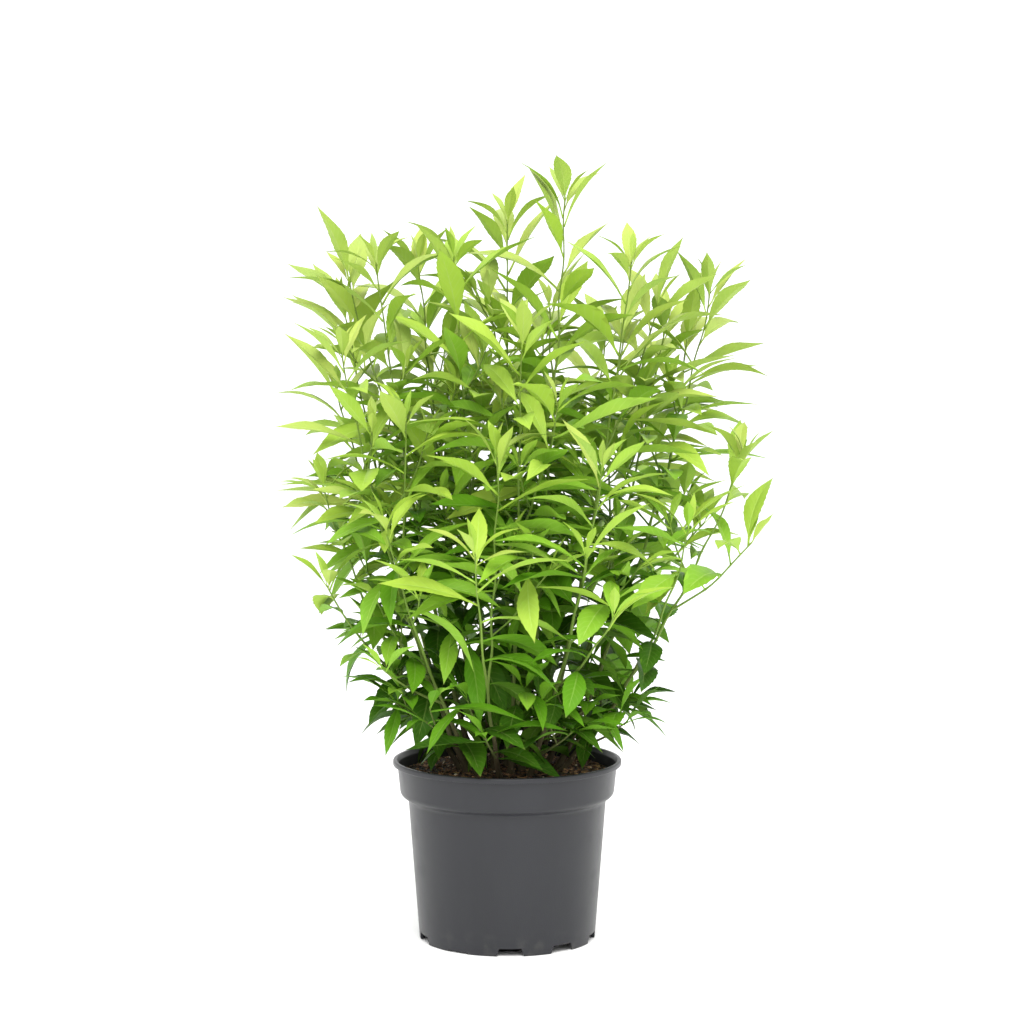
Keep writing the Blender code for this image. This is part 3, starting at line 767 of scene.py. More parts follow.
@dataclass
class Pot:
    """A thin-walled round nursery pot: drain foot, tapered body, banded rim and flat lip."""

    height: float = 0.181
    wall: float = 0.0018
    foot_radius: float = 0.0886
    foot_wall: float = 0.0029
    body_top: Span = (0.0995, 0.1410)  # radius and height
    band_bottom: Span = (0.1075, 0.1470)
    band_top: Span = (0.1105, 0.1755)
    lip_radius: float = 0.1150
    lip_thick: float = 0.0052
    disc_radius: float = 0.0680
    channel_radius: float = 0.0700
    channel_rise: float = 0.0080
    floor_thick: float = 0.0022
    shoulder_lift: float = 0.0008
    edge_step: float = 0.0006  # of the band's lower edge and the lip's inner one
    notches: int = 10
    notch_widths: Span = (0.0280, 0.0220)  # at its cutter's foot and top
    notch_top: float = 0.0078  # just under the channel's roof
    notch_drop: float = 0.0060  # how far every fifth notch sits lower
    lower_every: int = 5
    over_notches: float = 0.0105  # a ring there keeps the notches' cuts out of the tall faces
    first_notch: float = math.radians(2.0)
    cutter_reach: float = 0.006  # in and out of the foot's edge
    cutter_drop: float = 0.002  # below the foot
    sides: int = 160
    sharp: float = 32.0  # edges that turn more, in degrees, stay sharp

    def inner_radius(self, height: float) -> float:
        """Inner radius of the tapered body at a height."""
        top, up = self.body_top
        return self.foot_radius + (top - self.foot_radius) * height / up - self.wall

    def profile(self) -> Outline:
        """The outline from the middle of the underside, up outside and down inside.

        Returns:
            Radius and height of each point.
        """
        rise, wall, step = self.channel_rise, self.wall, self.edge_step
        floor = rise + self.floor_thick
        lift = self.shoulder_lift
        body, body_up = self.body_top
        band, band_up = self.band_bottom
        top, top_up = self.band_top
        under_lip = self.height - self.lip_thick
        return rounded([
            (0.0, 0.0, 0.0),
            (self.disc_radius, 0.0, 0.0010),
            (self.channel_radius, rise, 0.0008),
            (self.foot_radius - self.foot_wall, rise, 0.0008),
            (self.foot_radius - self.foot_wall, 0.0, 0.0004),
            (self.foot_radius, 0.0, 0.0009),
            (self.inner_radius(self.over_notches) + wall, self.over_notches, 0.0),
            (body, body_up, 0.0032),
            (band, band_up - step, 0.0036),
            (top, top_up, 0.0012),
            (self.lip_radius, under_lip, 0.0012),
            (self.lip_radius, self.height, 0.0020),
            (top + step, self.height, 0.0008),
            (top - wall, top_up, 0.0010),
            (band - wall, band_up + lift, 0.0030),
            (body - wall, body_up + lift, 0.0030),
            (self.inner_radius(floor), floor, 0.0020),
            (self.channel_radius - self.floor_thick, floor, 0.0008),
            (self.disc_radius - self.floor_thick, self.floor_thick, 0.0008),
            (0.0, self.floor_thick, 0.0),
        ])

    def cutter(self) -> Object:
        """Makes the tapered block that cuts one notch, at the front of the foot.

        Returns:
            The block.
        """
        rows = []
        for out in (-self.cutter_reach, self.cutter_reach):
            for height, width in zip((-self.cutter_drop, self.notch_top), self.notch_widths):
                rows += [Vector((side * width, -out, height)) for side in (-0.5, 0.5)]
        faces = [
            (0, 2, 3, 1), (4, 5, 7, 6), (0, 1, 5, 4), (2, 6, 7, 3), (0, 4, 6, 2), (1, 3, 7, 5),
        ]
        block = mesh_object("notch_block", rows, faces)
        face_out(block)
        return block

    def build(self) -> Object:
        """Turns the profile and cuts the ring of drain notches out of its foot.

        Returns:
            The pot.
        """
        pot = mesh_object("nursery_pot", *turned(self.profile(), self.sides))
        face_out(pot)
        block = self.cutter()
        recipe = Recipe("drain_notches")
        given = recipe.takes({
            "Block": ("Object", block),
            "Count": ("Int", self.notches),
            "Radius": ("Float", self.foot_radius),
            "First": ("Float", self.first_notch),
            "Lower by": ("Float", self.notch_drop),
            "Lower every": ("Float", float(self.lower_every)),
            "Plastic": ("Material", PotPlastic().material()),
        })
        row = {"Count": given.of("Count"), "Offset": (0.0, 0.0, 0.0)}
        line = recipe.node("GeometryNodeMeshLine", None, row)
        index = recipe.node("GeometryNodeInputIndex")
        angle = index * (math.tau / self.notches) + given.of("First")
        radius, every = given.of("Radius"), given.of("Lower every")
        lower = index.math("MODULO", every).math("COMPARE", every - 1.0, 0.1)
        where = recipe.node("ShaderNodeCombineXYZ", None, {
            0: angle.math("SINE") * radius,
            1: angle.math("COSINE") * radius * -1.0,
            2: lower * given.of("Lower by") * -1.0,
        })
        spots = {"Geometry": line, "Position": where}
        spots = recipe.node("GeometryNodeSetPosition", None, spots)
        info = {"Object": given.of("Block")}
        shape = recipe.node("GeometryNodeObjectInfo", None, info, "Geometry")
        turn = recipe.node("ShaderNodeCombineXYZ", None, {2: angle})
        pair = {"Mesh 1": given, "Mesh 2": recipe.laid(spots, shape, turn)}
        cut = recipe.node("GeometryNodeMeshBoolean", {"operation": "DIFFERENCE"}, pair)
        recipe.grow(pot, recipe.dressed(cut, given.of("Plastic")))
        bpy.data.objects.remove(block, do_unlink=True)
        face_out(pot)
        shade_round(pot, self.sharp)
        return pot


@dataclass
class Bed:
    """The compost: a crumbly mound that fills the pot, with coir, bark and perlite on it."""

    pot: Pot
    top: float = 0.1700
    edge: float = 0.1665
    flat_radius: float = 0.0750
    relief: float = 0.0016
    clump_scale: float = 70.0
    lump_scale: float = 22.0
    calm_edge: float = 0.75  # share of the relief that the edge lacks
    rings: int = 44
    sides: int = 150
    seed: int = 5
    crumb_forms: int = 4
    crumb_rough: float = 0.55
    crumb_lumps: float = 2.6
    crumb_shift: float = 7.3  # of the noise, from form to form
    crumb_inset: float = 0.6  # of the largest size, from the bed's edge
    strewn_depth: float = 0.004  # below the edge's height, where crumbs still lie

    def edge_radius(self) -> float:
        """Radius of the bed's edge, a gap inside the pot's wall."""
        (low, low_up), (high, high_up) = self.pot.band_bottom, self.pot.band_top
        slope = (high - low) / (high_up - low_up)
        return low + slope * (self.edge - low_up) - self.pot.wall - 2 * GAP

    def level(self, x: float, y: float) -> float:
        """Height of the bed's surface, with its crumbly relief.

        Args:
            x: Place across.
            y: Place in depth.

        Returns:
            The height there.
        """
        beyond = max(0.0, math.hypot(x, y) - self.flat_radius)
        share = beyond / (self.edge_radius() - self.flat_radius)
        clumps = Vector((x * self.clump_scale, y * self.clump_scale, 3.7))
        lumps = Vector((x * self.lump_scale, y * self.lump_scale, 9.1))
        relief = (noise.fractal(clumps, 0.8, 2.2, 4) + noise.noise(lumps)) * self.relief
        calm = 1.0 - self.calm_edge * share ** 6
        return self.top + (self.edge - self.top) * share + relief * calm

    def surface(self) -> Object:
        """Makes the bed as one closed body, fine on top and fitted to the pot below.

        Returns:
            The bed.
        """
        pot, edge = self.pot, self.edge_radius()
        floor = pot.channel_rise + pot.floor_thick + GAP
        low = pot.floor_thick + GAP
        lift = pot.shoulder_lift + 2 * GAP
        below = [
            (0.0, low),
            (pot.disc_radius - pot.floor_thick - GAP, low),
            (pot.channel_radius - pot.floor_thick - GAP, floor),
            (pot.inner_radius(floor) - GAP * 3, floor),
            (pot.body_top[0] - pot.wall - GAP * 2, pot.body_top[1] + lift),
            (pot.band_bottom[0] - pot.wall - GAP * 2, pot.band_bottom[1] + lift),
        ]
        above = [(edge * (1.0 - k / self.rings), self.edge) for k in range(self.rings)]
        points, faces = turned(below + above + [(0.0, self.top)], self.sides)
        for point in points:
            if point.z >= self.edge:
                point.z = self.level(point.x, point.y)
        bed = mesh_object("compost_bed", points, faces)
        face_out(bed)
        bed.data.materials.append(Compost().material())
        bed.data.shade_smooth()
        return bed

    def crumb_shapes(self, name: str, flat: float, long: float) -> bpy.types.Collection:
        """Makes a few rough bits, a unit across.

        Args:
            name: Name of the collection that holds them.
            flat: Their thickness as a share of their width.
            long: Their length as a share of their width.

        Returns:
            The collection, which isn't in the scene.
        """
        home = bpy.data.collections.new(name)
        for k in range(self.crumb_forms):
            work = bmesh.new()
            bmesh.ops.create_icosphere(work, subdivisions=1, radius=0.5)
            shift = Vector((k * self.crumb_shift, self.seed, 0.0))
            for vert in work.verts:
                lump = noise.noise(vert.co * self.crumb_lumps + shift)
                rough = 1.0 + self.crumb_rough * lump
                vert.co = Vector((vert.co.x * long, vert.co.y, vert.co.z * flat)) * rough
            mesh = bpy.data.meshes.new(f"{name}_{k}")
            work.to_mesh(mesh)
            work.free()
            home.objects.link(bpy.data.objects.new(f"{name}_{k}", mesh))
        return home

    def scatter(self, bed: Object, kind: "CrumbKind") -> Object:
        """Strews bits of one kind over the bed.

        Args:
            bed: The bed's surface.
            kind: What to strew.

        Returns:
            One joined piece.
        """
        facts = kind.value
        shapes = self.crumb_shapes(f"{facts.skin.name}_bits", facts.flat, facts.long)
        smallest, largest = facts.sizes
        recipe = Recipe(f"strew_{facts.skin.name}")
        given = recipe.takes({
            "Bits": ("Collection", shapes),
            "Each square metre": ("Float", facts.density),
            "Smallest": ("Float", smallest),
            "Largest": ("Float", largest),
            "Seed": ("Int", facts.seed),
            "Edge": ("Float", self.edge_radius() - largest * self.crumb_inset),
            "Level": ("Float", self.edge - self.strewn_depth),
            "Finish": ("Material", facts.skin.material()),
        })
        seed = given.of("Seed")
        place = recipe.node("GeometryNodeInputPosition")
        out = recipe.length(recipe.vector("MULTIPLY", place, (1.0, 1.0, 0.0)))
        inside = out.math("LESS_THAN", given.of("Edge"))
        high = recipe.parts(place)[2].math("GREATER_THAN", given.of("Level"))
        dots = recipe.node("GeometryNodeDistributePointsOnFaces", None, {
            "Mesh": given, "Selection": inside * high,
            "Density": given.of("Each square metre"), "Seed": seed,
        }, "Points")
        turn = recipe.node("FunctionNodeRandomValue", {"data_type": "FLOAT_VECTOR"}, {
            "Min": (-facts.tumble, -facts.tumble, 0.0),
            "Max": (facts.tumble, facts.tumble, math.tau), "Seed": seed,
        })
        size = recipe.node("FunctionNodeRandomValue", {"data_type": "FLOAT"}, {
            "Min_001": given.of("Smallest"), "Max_001": given.of("Largest"), "Seed": seed,
        }, "Value_001")
        bits = recipe.shapes(given.of("Bits"))
        bits = recipe.laid(dots, bits, turn, {"Pick Instance": True, "Scale": size})
        holder = mesh_object(facts.skin.name, [], [])
        holder.data = bed.data.copy()
        recipe.grow(holder, recipe.dressed(bits, given.of("Finish")))
        forget(shapes)
        return holder


@dataclass(frozen=True)
class CrumbFacts:
    """How one kind of bit looks and lies: shape, sizes in metres and number."""

    skin: Crumb
    flat: float
    long: float
    sizes: Span
    density: float
    tumble: float
    seed: int


class CrumbKind(Enum):
    """What lies in the compost."""

    COIR = CrumbFacts(
        Crumb("coir_crumbs", (0.008, 0.004, 0.002), (0.200, 0.105, 0.045), 0.90),
        0.60, 1.3, (0.0016, 0.0042), 62000.0, 0.9, 3,
    )
    BARK = CrumbFacts(
        Crumb("bark_chips", (0.050, 0.025, 0.011), (0.480, 0.270, 0.130), 0.80),
        0.28, 1.9, (0.0024, 0.0062), 13000.0, 0.6, 4,
    )
    PERLITE = CrumbFacts(
        Crumb("perlite", (0.38, 0.29, 0.17), (0.80, 0.71, 0.55), 0.75),
        0.80, 1.1, (0.0016, 0.0044), 1600.0, 1.2, 5,
    )


# Growth


FRONT_STEMS = (
    ((0.058, 0.000, 0.742), (0.036, 0.030, 0.600)),
    ((0.000, 0.060, 0.722), (0.020, 0.095, 0.585)),
    ((-0.052, -0.020, 0.684), (-0.024, 0.010, 0.560)),
    ((-0.090, 0.070, 0.680), (-0.060, 0.110, 0.590)),
    ((-0.130, -0.005, 0.678), (-0.160, 0.045, 0.662)),
    ((-0.160, -0.075, 0.590), (-0.096, -0.115, 0.526)),
    ((-0.184, -0.010, 0.455), (-0.176, -0.060, 0.362)),
    ((-0.115, -0.145, 0.430), (-0.118, -0.130, 0.290)),
    ((-0.030, -0.185, 0.405), (-0.008, -0.130, 0.497)),
    ((0.014, -0.090, 0.612), (0.050, -0.100, 0.540)),
    ((0.090, -0.145, 0.482), (0.100, -0.165, 0.345)),
    ((0.234, -0.026, 0.487), (0.176, -0.090, 0.420)),
    ((0.206, 0.040, 0.652), (0.184, 0.075, 0.600)),
    ((0.122, -0.030, 0.678), (0.150, 0.010, 0.640)),
)  # where each stem's tip and its fork's tip are: across, depth and height


@dataclass(frozen=True)
class TwigRule:
    """How twigs of one size stand along a shoot, from its tip down."""

    start: float
    first: Span  # times the start
    every: float
    step: Span  # times every
    length: Span
    heights: Span = (0.0, 1.0)  # between which they stand


@dataclass(frozen=True)
class Habit:
    """How the shrub grows: the named sizes of its stems, forks, twigs and sprays."""

    stem_seed: int = 11
    back_stems: int = 5
    back_span: Span = (math.radians(28), math.radians(152))
    back_reach: Span = (0.165, 0.205)
    back_height: Span = (0.560, 0.655)
    back_fork_turn: float = math.radians(22)
    back_fork_reach: float = 0.9
    back_fork_drop: float = 0.085
    foot_share: float = 0.25
    foot_reach: float = 0.055
    stem_radius: float = 0.0034
    short_stem: float = 0.72
    tallest: float = 0.560
    tip_radius: float = 0.0011
    flare: float = 0.30
    lean_out: float = 0.62
    lean_up: float = 0.42
    stem_end: float = 0.28
    fork_from: float = 0.06
    fork_below: float = 0.070
    fork_slant: float = 1.5
    fork_thick: float = 0.72
    fork_bend: float = 0.45
    fork_out: float = 0.22
    twig_seed: int = 100
    leaf_seed: int = 200
    spray_leaf_seed: int = 400
    spray_seed: int = 28
    sprays: int = 19
    spray_step: int = 7
    spray_swing: float = 0.9
    spray_span: Span = (0.12, 0.92)
    spray_length: Span = (0.090, 0.135)
    spray_thick: float = 0.6
    spray_off: float = 1.02
    spray_bend: Span = (0.42, 0.62)
    spray_rise: Span = (0.30, 0.85)
    spray_fork_at: float = 0.42
    spray_fork_length: Span = (0.060, 0.085)
    side_twigs: TwigRule = TwigRule(0.170, (0.90, 1.20), 0.095, (0.85, 1.20), (0.075, 0.120))
    twig_room: float = 0.020
    twig_slant: Span = (0.55, 0.85)
    twig_rise: Span = (0.40, 0.75)
    twig_thick: float = 0.7
    long_shoot: float = 0.200
    clear: float = 0.0007
    least_rise: float = 0.30  # no twig sets out flatter than this
    spray_bow: float = 0.85  # how nearly straight sprays and twigs are
    twig_bow: float = 0.55
    fine_seed: int = 900  # what follows is finer than the solids
    fine_twigs: TwigRule = TwigRule(
        0.110, (0.9, 1.2), 0.095, (0.8, 1.3), (0.040, 0.070), (0.330, 0.600)
    )
    slim_from: float = 0.76  # a stem's share of the solids' thickness where its leaves start
    slim_to: float = 0.52  # and at its tip
    twig_slim: Span = (0.90, 0.60)  # the same of forks and twigs
    stem_rings: int = 64
    past_end: float = 1.01  # how far a bare stem reaches into its shoot
    flare_height: float = 0.006
    sunk: float = 0.004  # in the compost
    sunk_wide: float = 1.05
    ring_every: float = 0.0045
    swell: float = 0.28  # where a leaf stands
    swell_reach: float = 0.0028
    short_below: float = 0.340
    short_share: float = 0.78
    sway: float = 0.0013
    sway_every: float = 0.075
    sway_from: float = 0.040
    sway_side: float = 90.0  # how fast the swaying shoot's side and start change over the soil
    sway_start: float = 40.0


HABIT = Habit()
SOIL_TOP = Bed(Pot()).top


class Shoot:
    """A stem, fork or twig: a quadratic curve that tapers and sways a little."""

    def __init__(self, start: Vector, middle: Vector, end: Vector, thick: float) -> None:
        """Keeps the curve and its thickness at the start.

        Args:
            start: Where it leaves the soil or the shoot that bears it.
            middle: The curve's control point.
            end: Its tip.
            thick: Radius at the start.
        """
        self.curve = (start, middle, end)
        self.thick = thick
        self.first = 0.0
        self.knots: list[float] = []  # shares at which leaves stand
        steps = [self.at(k / 16) for k in range(17)]
        self.length = sum((b - a).length for a, b in zip(steps, steps[1:]))
        self.rings = 6 if self.length > HABIT.long_shoot else 4
        around = start.x * HABIT.sway_side
        self.side = self.way(0.5).cross(Vector((math.cos(around), math.sin(around), 0.3)))
        self.side.normalize()
        self.phase = (start.x + end.y * 1.7 + end.z) * HABIT.sway_start

    def shortened(self, share: float) -> "Shoot":
        """The same shoot, ended at a share of its curve."""
        start, middle, _ = self.curve
        return Shoot(start, start.lerp(middle, share), self.at(share), self.thick)

    def at(self, share: float) -> Vector:
        """The point at a share of the curve."""
        start, middle, end = self.curve
        return start.lerp(middle, share).lerp(middle.lerp(end, share), share)

    def way(self, share: float) -> Vector:
        """The direction of growth there."""
        start, middle, end = self.curve
        return (middle - start).lerp(end - middle, share).normalized()

    def speed(self, share: float) -> float:
        """Metres of curve for each unit of share."""
        start, middle, end = self.curve
        return 2.0 * (middle - start).lerp(end - middle, share).length

    def radius(self, share: float) -> float:
        """Thickness tapers evenly to the tip."""
        return self.thick + (HABIT.tip_radius - self.thick) * share

    def core(self, share: float) -> Vector:
        """The middle of the plain tube that the solids have, straight between its rings.

        Args:
            share: Share of the curve.

        Returns:
            The point.
        """
        step = (1.0 - self.first) / (self.rings - 1)
        ring = min(int((share - self.first) / step), self.rings - 2)
        before = self.first + ring * step
        return self.at(before).lerp(self.at(before + step), (share - before) / step)

    def place(self, share: float) -> Vector:
        """The middle of the finished shoot, with its sway.

        Args:
            share: Share of the curve.

        Returns:
            The point.
        """
        along = share * self.length
        swing = HABIT.sway * min(1.0, along / HABIT.sway_from)
        wave = math.sin(math.tau * along / HABIT.sway_every + self.phase)
        return self.at(share) + self.side * swing * wave

    def share_at_height(self, height: float) -> float:
        """Finds where the shoot reaches a height, by halving.

        Args:
            height: The height.

        Returns:
            The share of the curve.
        """
        low, high = 0.0, 1.0
        for _ in range(24):
            half = (low + high) / 2
            if self.at(half).z < height:
                low = half
            else:
                high = half
        return low

    def tube(
        self, first: float, last: float, sides: int, rings: int, grow: float
    ) -> tuple[list, list]:
        """Makes a closed plain tube along part of the shoot, for testing what it would meet.

        Args:
            first: Share where it starts.
            last: Share where it ends.
            sides: Points in a ring.
            rings: Number of rings.
            grow: Added to its radius.

        Returns:
            Points and faces.
        """
        points, faces = [], []
        side = self.way(first).orthogonal().normalized()
        for k in range(rings):
            share = first + (last - first) * k / (rings - 1)
            way = self.way(share)
            side = (side - way * side.dot(way)).normalized()
            other = way.cross(side)
            radius = self.radius(share) + grow
            for n in range(sides):
                angle = math.tau * n / sides
                ray = side * math.cos(angle) + other * math.sin(angle)
                points.append(self.at(share) + ray * radius)
        for k in range(rings - 1):
            for n in range(sides):
                a, b = k * sides + n, k * sides + (n + 1) % sides
                faces.append((a, b, b + sides, a + sides))
        faces.append(tuple(reversed(range(sides))))
        faces.append(tuple(range((rings - 1) * sides, rings * sides)))
        return points, faces


@dataclass(frozen=True)
class LeafRow:
    """How one leaf is to grow, before it has found its room."""

    share: float  # along its shoot
    turn: float  # round its shoot
    length: float
    tilt: float  # angle from its shoot
    rest: float  # angle from upright at which its tip points
    roll: float
    behind: float  # metres of shoot since it opened


@dataclass
class LeafPlan:
    """Where one leaf stands and which shape, size and green it has."""

    root: Vector
    turn: Matrix
    length: float
    form: int
    tint: Tint
    cell: tuple[int, int]


@dataclass
class Mass:
    """One mass of foliage: its bough, its own stem and forks, its twigs and its leaves."""

    name: str
    bough: str
    shoots: list[Shoot]
    twigs: list[Shoot]
    seed: int
    leaves: list[LeafPlan] = field(default_factory=list)

    def __post_init__(self) -> None:
        """Starts the mass's own random draws."""
        self.rng = random.Random(self.seed)
        self.cast = self.rng.uniform(-1.0, 1.0)  # its green, a little newer or older than most


class Space:
    """What the space already holds, so that what grows next is kept clear of it."""

    def __init__(self, room: int = 8192) -> None:
        """Starts empty, with room for a number of solids."""
        self.owners: list[str] = []
        self.trees: list[BVHTree] = []
        self.low, self.high = np.zeros((room, 3)), np.zeros((room, 3))

    def add(self, owner: str, points: list, faces: list) -> None:
        """Takes in a solid.

        Args:
            owner: The name under which it counts.
            points: Its points.
            faces: Its faces.
        """
        spots = np.array([tuple(p) for p in points])
        n = len(self.owners)
        self.low[n], self.high[n] = spots.min(0), spots.max(0)
        self.owners.append(owner)
        self.trees.append(BVHTree.FromPolygons(spots.tolist(), faces))

    def meets(self, points: list, faces: list, leave: set[str]) -> bool:
        """Says whether a solid meets what the space holds.

        Args:
            points: The solid's points.
            faces: Its faces.
            leave: Owners that don't count.

        Returns:
            True if it meets anything.
        """
        spots = np.array([tuple(p) for p in points])
        low, high = spots.min(0), spots.max(0)
        n = len(self.owners)
        near = ((self.low[:n] <= high) & (self.high[:n] >= low)).all(1).nonzero()[0]
        tree = None
        for k in near:
            if self.owners[k] in leave:
                continue
            tree = tree or BVHTree.FromPolygons(spots.tolist(), faces)
            if tree.overlap(self.trees[k]):
                return True
        return False


@dataclass(frozen=True)
class LeafForm:
    """One shape of leaf, a unit long, that grows along +Y with its upper side towards +Z."""

    arch: float  # how far it bends down by its tip, in radians
    fold: float  # how far its halves stand up from the midrib
    twist: float
    sway: float
    ripple: float
    broad: float  # width as a share of length
    late: float  # below 1, it bends more by its stalk
    taper: Span  # how the blade narrows towards its base and its tip
    petiole: float = 0.085
    stalk: float = 0.0095  # half width of the petiole
    thick: float = 0.011
    slimming: float = 0.6  # how far petiole and blade thin out towards the tip
    pillow: float = 0.10  # how far each half of the blade swells
    waves: float = 1.7
    bend_steps: int = 24
    stations: tuple[float, ...] = (0.0, 0.085, 0.19, 0.33, 0.49, 0.66, 0.83, 1.0)
    notches: tuple[Span, ...] = ((0.10, 0.07), (0.50, 0.0), (0.60, 0.07))

    def half_width(self, share: float) -> float:
        """Half the width: widest below the middle, drawn out at the tip.

        Args:
            share: Share of the length.

        Returns:
            The half width there.
        """
        blade = max(0.0, (share - self.petiole) / (1.0 - self.petiole))
        base, tip = self.taper
        widest = base / (base + tip)
        shape = (blade / widest) ** base * ((1.0 - blade) / (1.0 - widest)) ** tip
        return max(self.stalk * (1.0 - self.slimming * share), self.broad / 2 * shape)

    def frame_at(self, share: float) -> tuple[Vector, Vector, Vector]:
        """Follows the midrib's bend.

        Args:
            share: Share of the length.

        Returns:
            The midrib's place, the way across the blade and the way up out of it.
        """
        steps = self.bend_steps
        y = z = 0.0
        for k in range(steps):
            bend = self.arch * ((k + 0.5) / steps * share) ** self.late
            y += math.cos(bend) * share / steps
            z -= math.sin(bend) * share / steps
        bend = self.arch * share ** self.late
        ahead = Vector((0.0, math.cos(bend), -math.sin(bend)))
        turn = Matrix.Rotation(self.twist * share, 3, ahead)
        across = turn @ Vector((1.0, 0.0, 0.0))
        over = turn @ Vector((0.0, math.sin(bend), math.cos(bend)))
        return Vector((self.sway * share * share, y, z)), across, over

    def spot(self, share: float, x: float) -> Vector:
        """A point of the upper side.

        Args:
            share: Share of the length.
            x: Place across, from -1 at one margin over the midrib to 1.

        Returns:
            The point.
        """
        middle, across, over = self.frame_at(share)
        width = self.half_width(share)
        body = max(0.0, 1.0 - self.stalk / width)  # 0 on the petiole
        lift = abs(x) * math.sin(self.fold) + self.pillow * (1.0 - (2.0 * abs(x) - 1.0) ** 2)
        lift += self.ripple * x * abs(x) * math.sin(math.tau * self.waves * share + x)
        out = across * x * width * math.cos(self.fold * body)
        return middle + out + over * width * lift * body

    def ring(self, share: float) -> list[Vector]:
        """Points round the blade: on top from margin to margin, and one under the midrib.

        Args:
            share: Share of the length.

        Returns:
            The points.
        """
        middle, _, over = self.frame_at(share)
        slim = self.stalk / self.half_width(share)
        deep = self.thick * (1.1 - self.slimming * share) * (1.0 + self.slimming * slim)
        return [self.spot(share, x) for x in ACROSS] + [middle - over * deep]

    def strip(self) -> tuple[list[Vector], list[tuple[int, ...]]]:
        """A plain sheet of the blade beyond its first stations, to test what it would meet.

        Returns:
            Points and faces.
        """
        points, faces = [], []
        for share in self.stations[2:-1]:
            ring = self.ring(share)
            points += [ring[0], ring[2], ring[4]]
        points.append(self.frame_at(1.0)[0])
        rows = (len(points) - 1) // 3
        for k in range(rows - 1):
            for a in (3 * k, 3 * k + 1):
                faces.append((a, a + 1, a + 4, a + 3))
        last = 3 * (rows - 1)
        faces += [(a, a + 1, len(points) - 1) for a in (last, last + 1)]
        return points, faces

    def build(self, name: str) -> Object:
        """Makes the closed blade, with its own map and its underside marked.

        Args:
            name: The object's name.

        Returns:
            The object, not linked to the scene.
        """
        shares = self.stations[:-1]
        points = [p for share in shares for p in self.ring(share)] + [self.frame_at(1.0)[0]]
        across, margins = (*ACROSS, 0.0), (0, len(ACROSS) - 1)
        size, tip = len(across), len(points) - 1
        teeth = {}
        for k in range(1, len(shares)):
            for n in margins:
                teeth[k, n] = []
                for part, cut in self.notches:
                    share = shares[k] + (self.stations[k + 1] - shares[k]) * part
                    x = across[n] * (1.0 - cut)
                    teeth[k, n].append((len(points), x, share))
                    points.append(self.spot(share, x))
        faces, marks, spots = [], [], []
        for k, share in enumerate(shares):
            for n in range(size):
                m = (n + 1) % size
                side = Side.TOP if n < margins[1] else Side.UNDER
                corners = [(size * k + j, across[j], share) for j in (m, n)]
                corners += teeth.get((k, n), [])
                if k + 1 < len(shares):
                    after = self.stations[k + 1]
                    corners += [(size * (k + 1) + j, across[j], after) for j in (n, m)]
                else:
                    corners.append((tip, (across[n] + across[m]) / 2, 1.0))
                corners += reversed(teeth.get((k, m), []))
                faces.append([number for number, _, _ in corners])
                marks.append(side is Side.UNDER)
                for _, x, along in corners:
                    spots.append((side.value + 0.5 + x * MAP_INSET / 2) / 2)
                    spots.append(0.5 + (along - 0.5) * MAP_INSET)
        faces.append(list(range(size)))  # the petiole's cut end
        marks.append(True)
        spots += [0.75, 0.5 - 0.5 * MAP_INSET] * size
        mesh = bpy.data.meshes.new(name)
        mesh.from_pydata([tuple(p) for p in points], [], faces)
        mesh.uv_layers.new(name="leaf_cell").data.foreach_set("uv", spots)
        mark(mesh, "underside", "BOOLEAN", "FACE", marks)
        mesh.shade_smooth()
        ribs = [{k for k in range(tip) if k % size == n} for n in (2, 5)]
        margin = {k for k in range(len(points)) if k >= tip or k % size in margins}
        mark(mesh, "sharp_edge", "BOOLEAN", "EDGE", [
            any(set(edge.vertices) <= line for line in (margin, *ribs)) for edge in mesh.edges
        ])
        return bpy.data.objects.new(name, mesh)


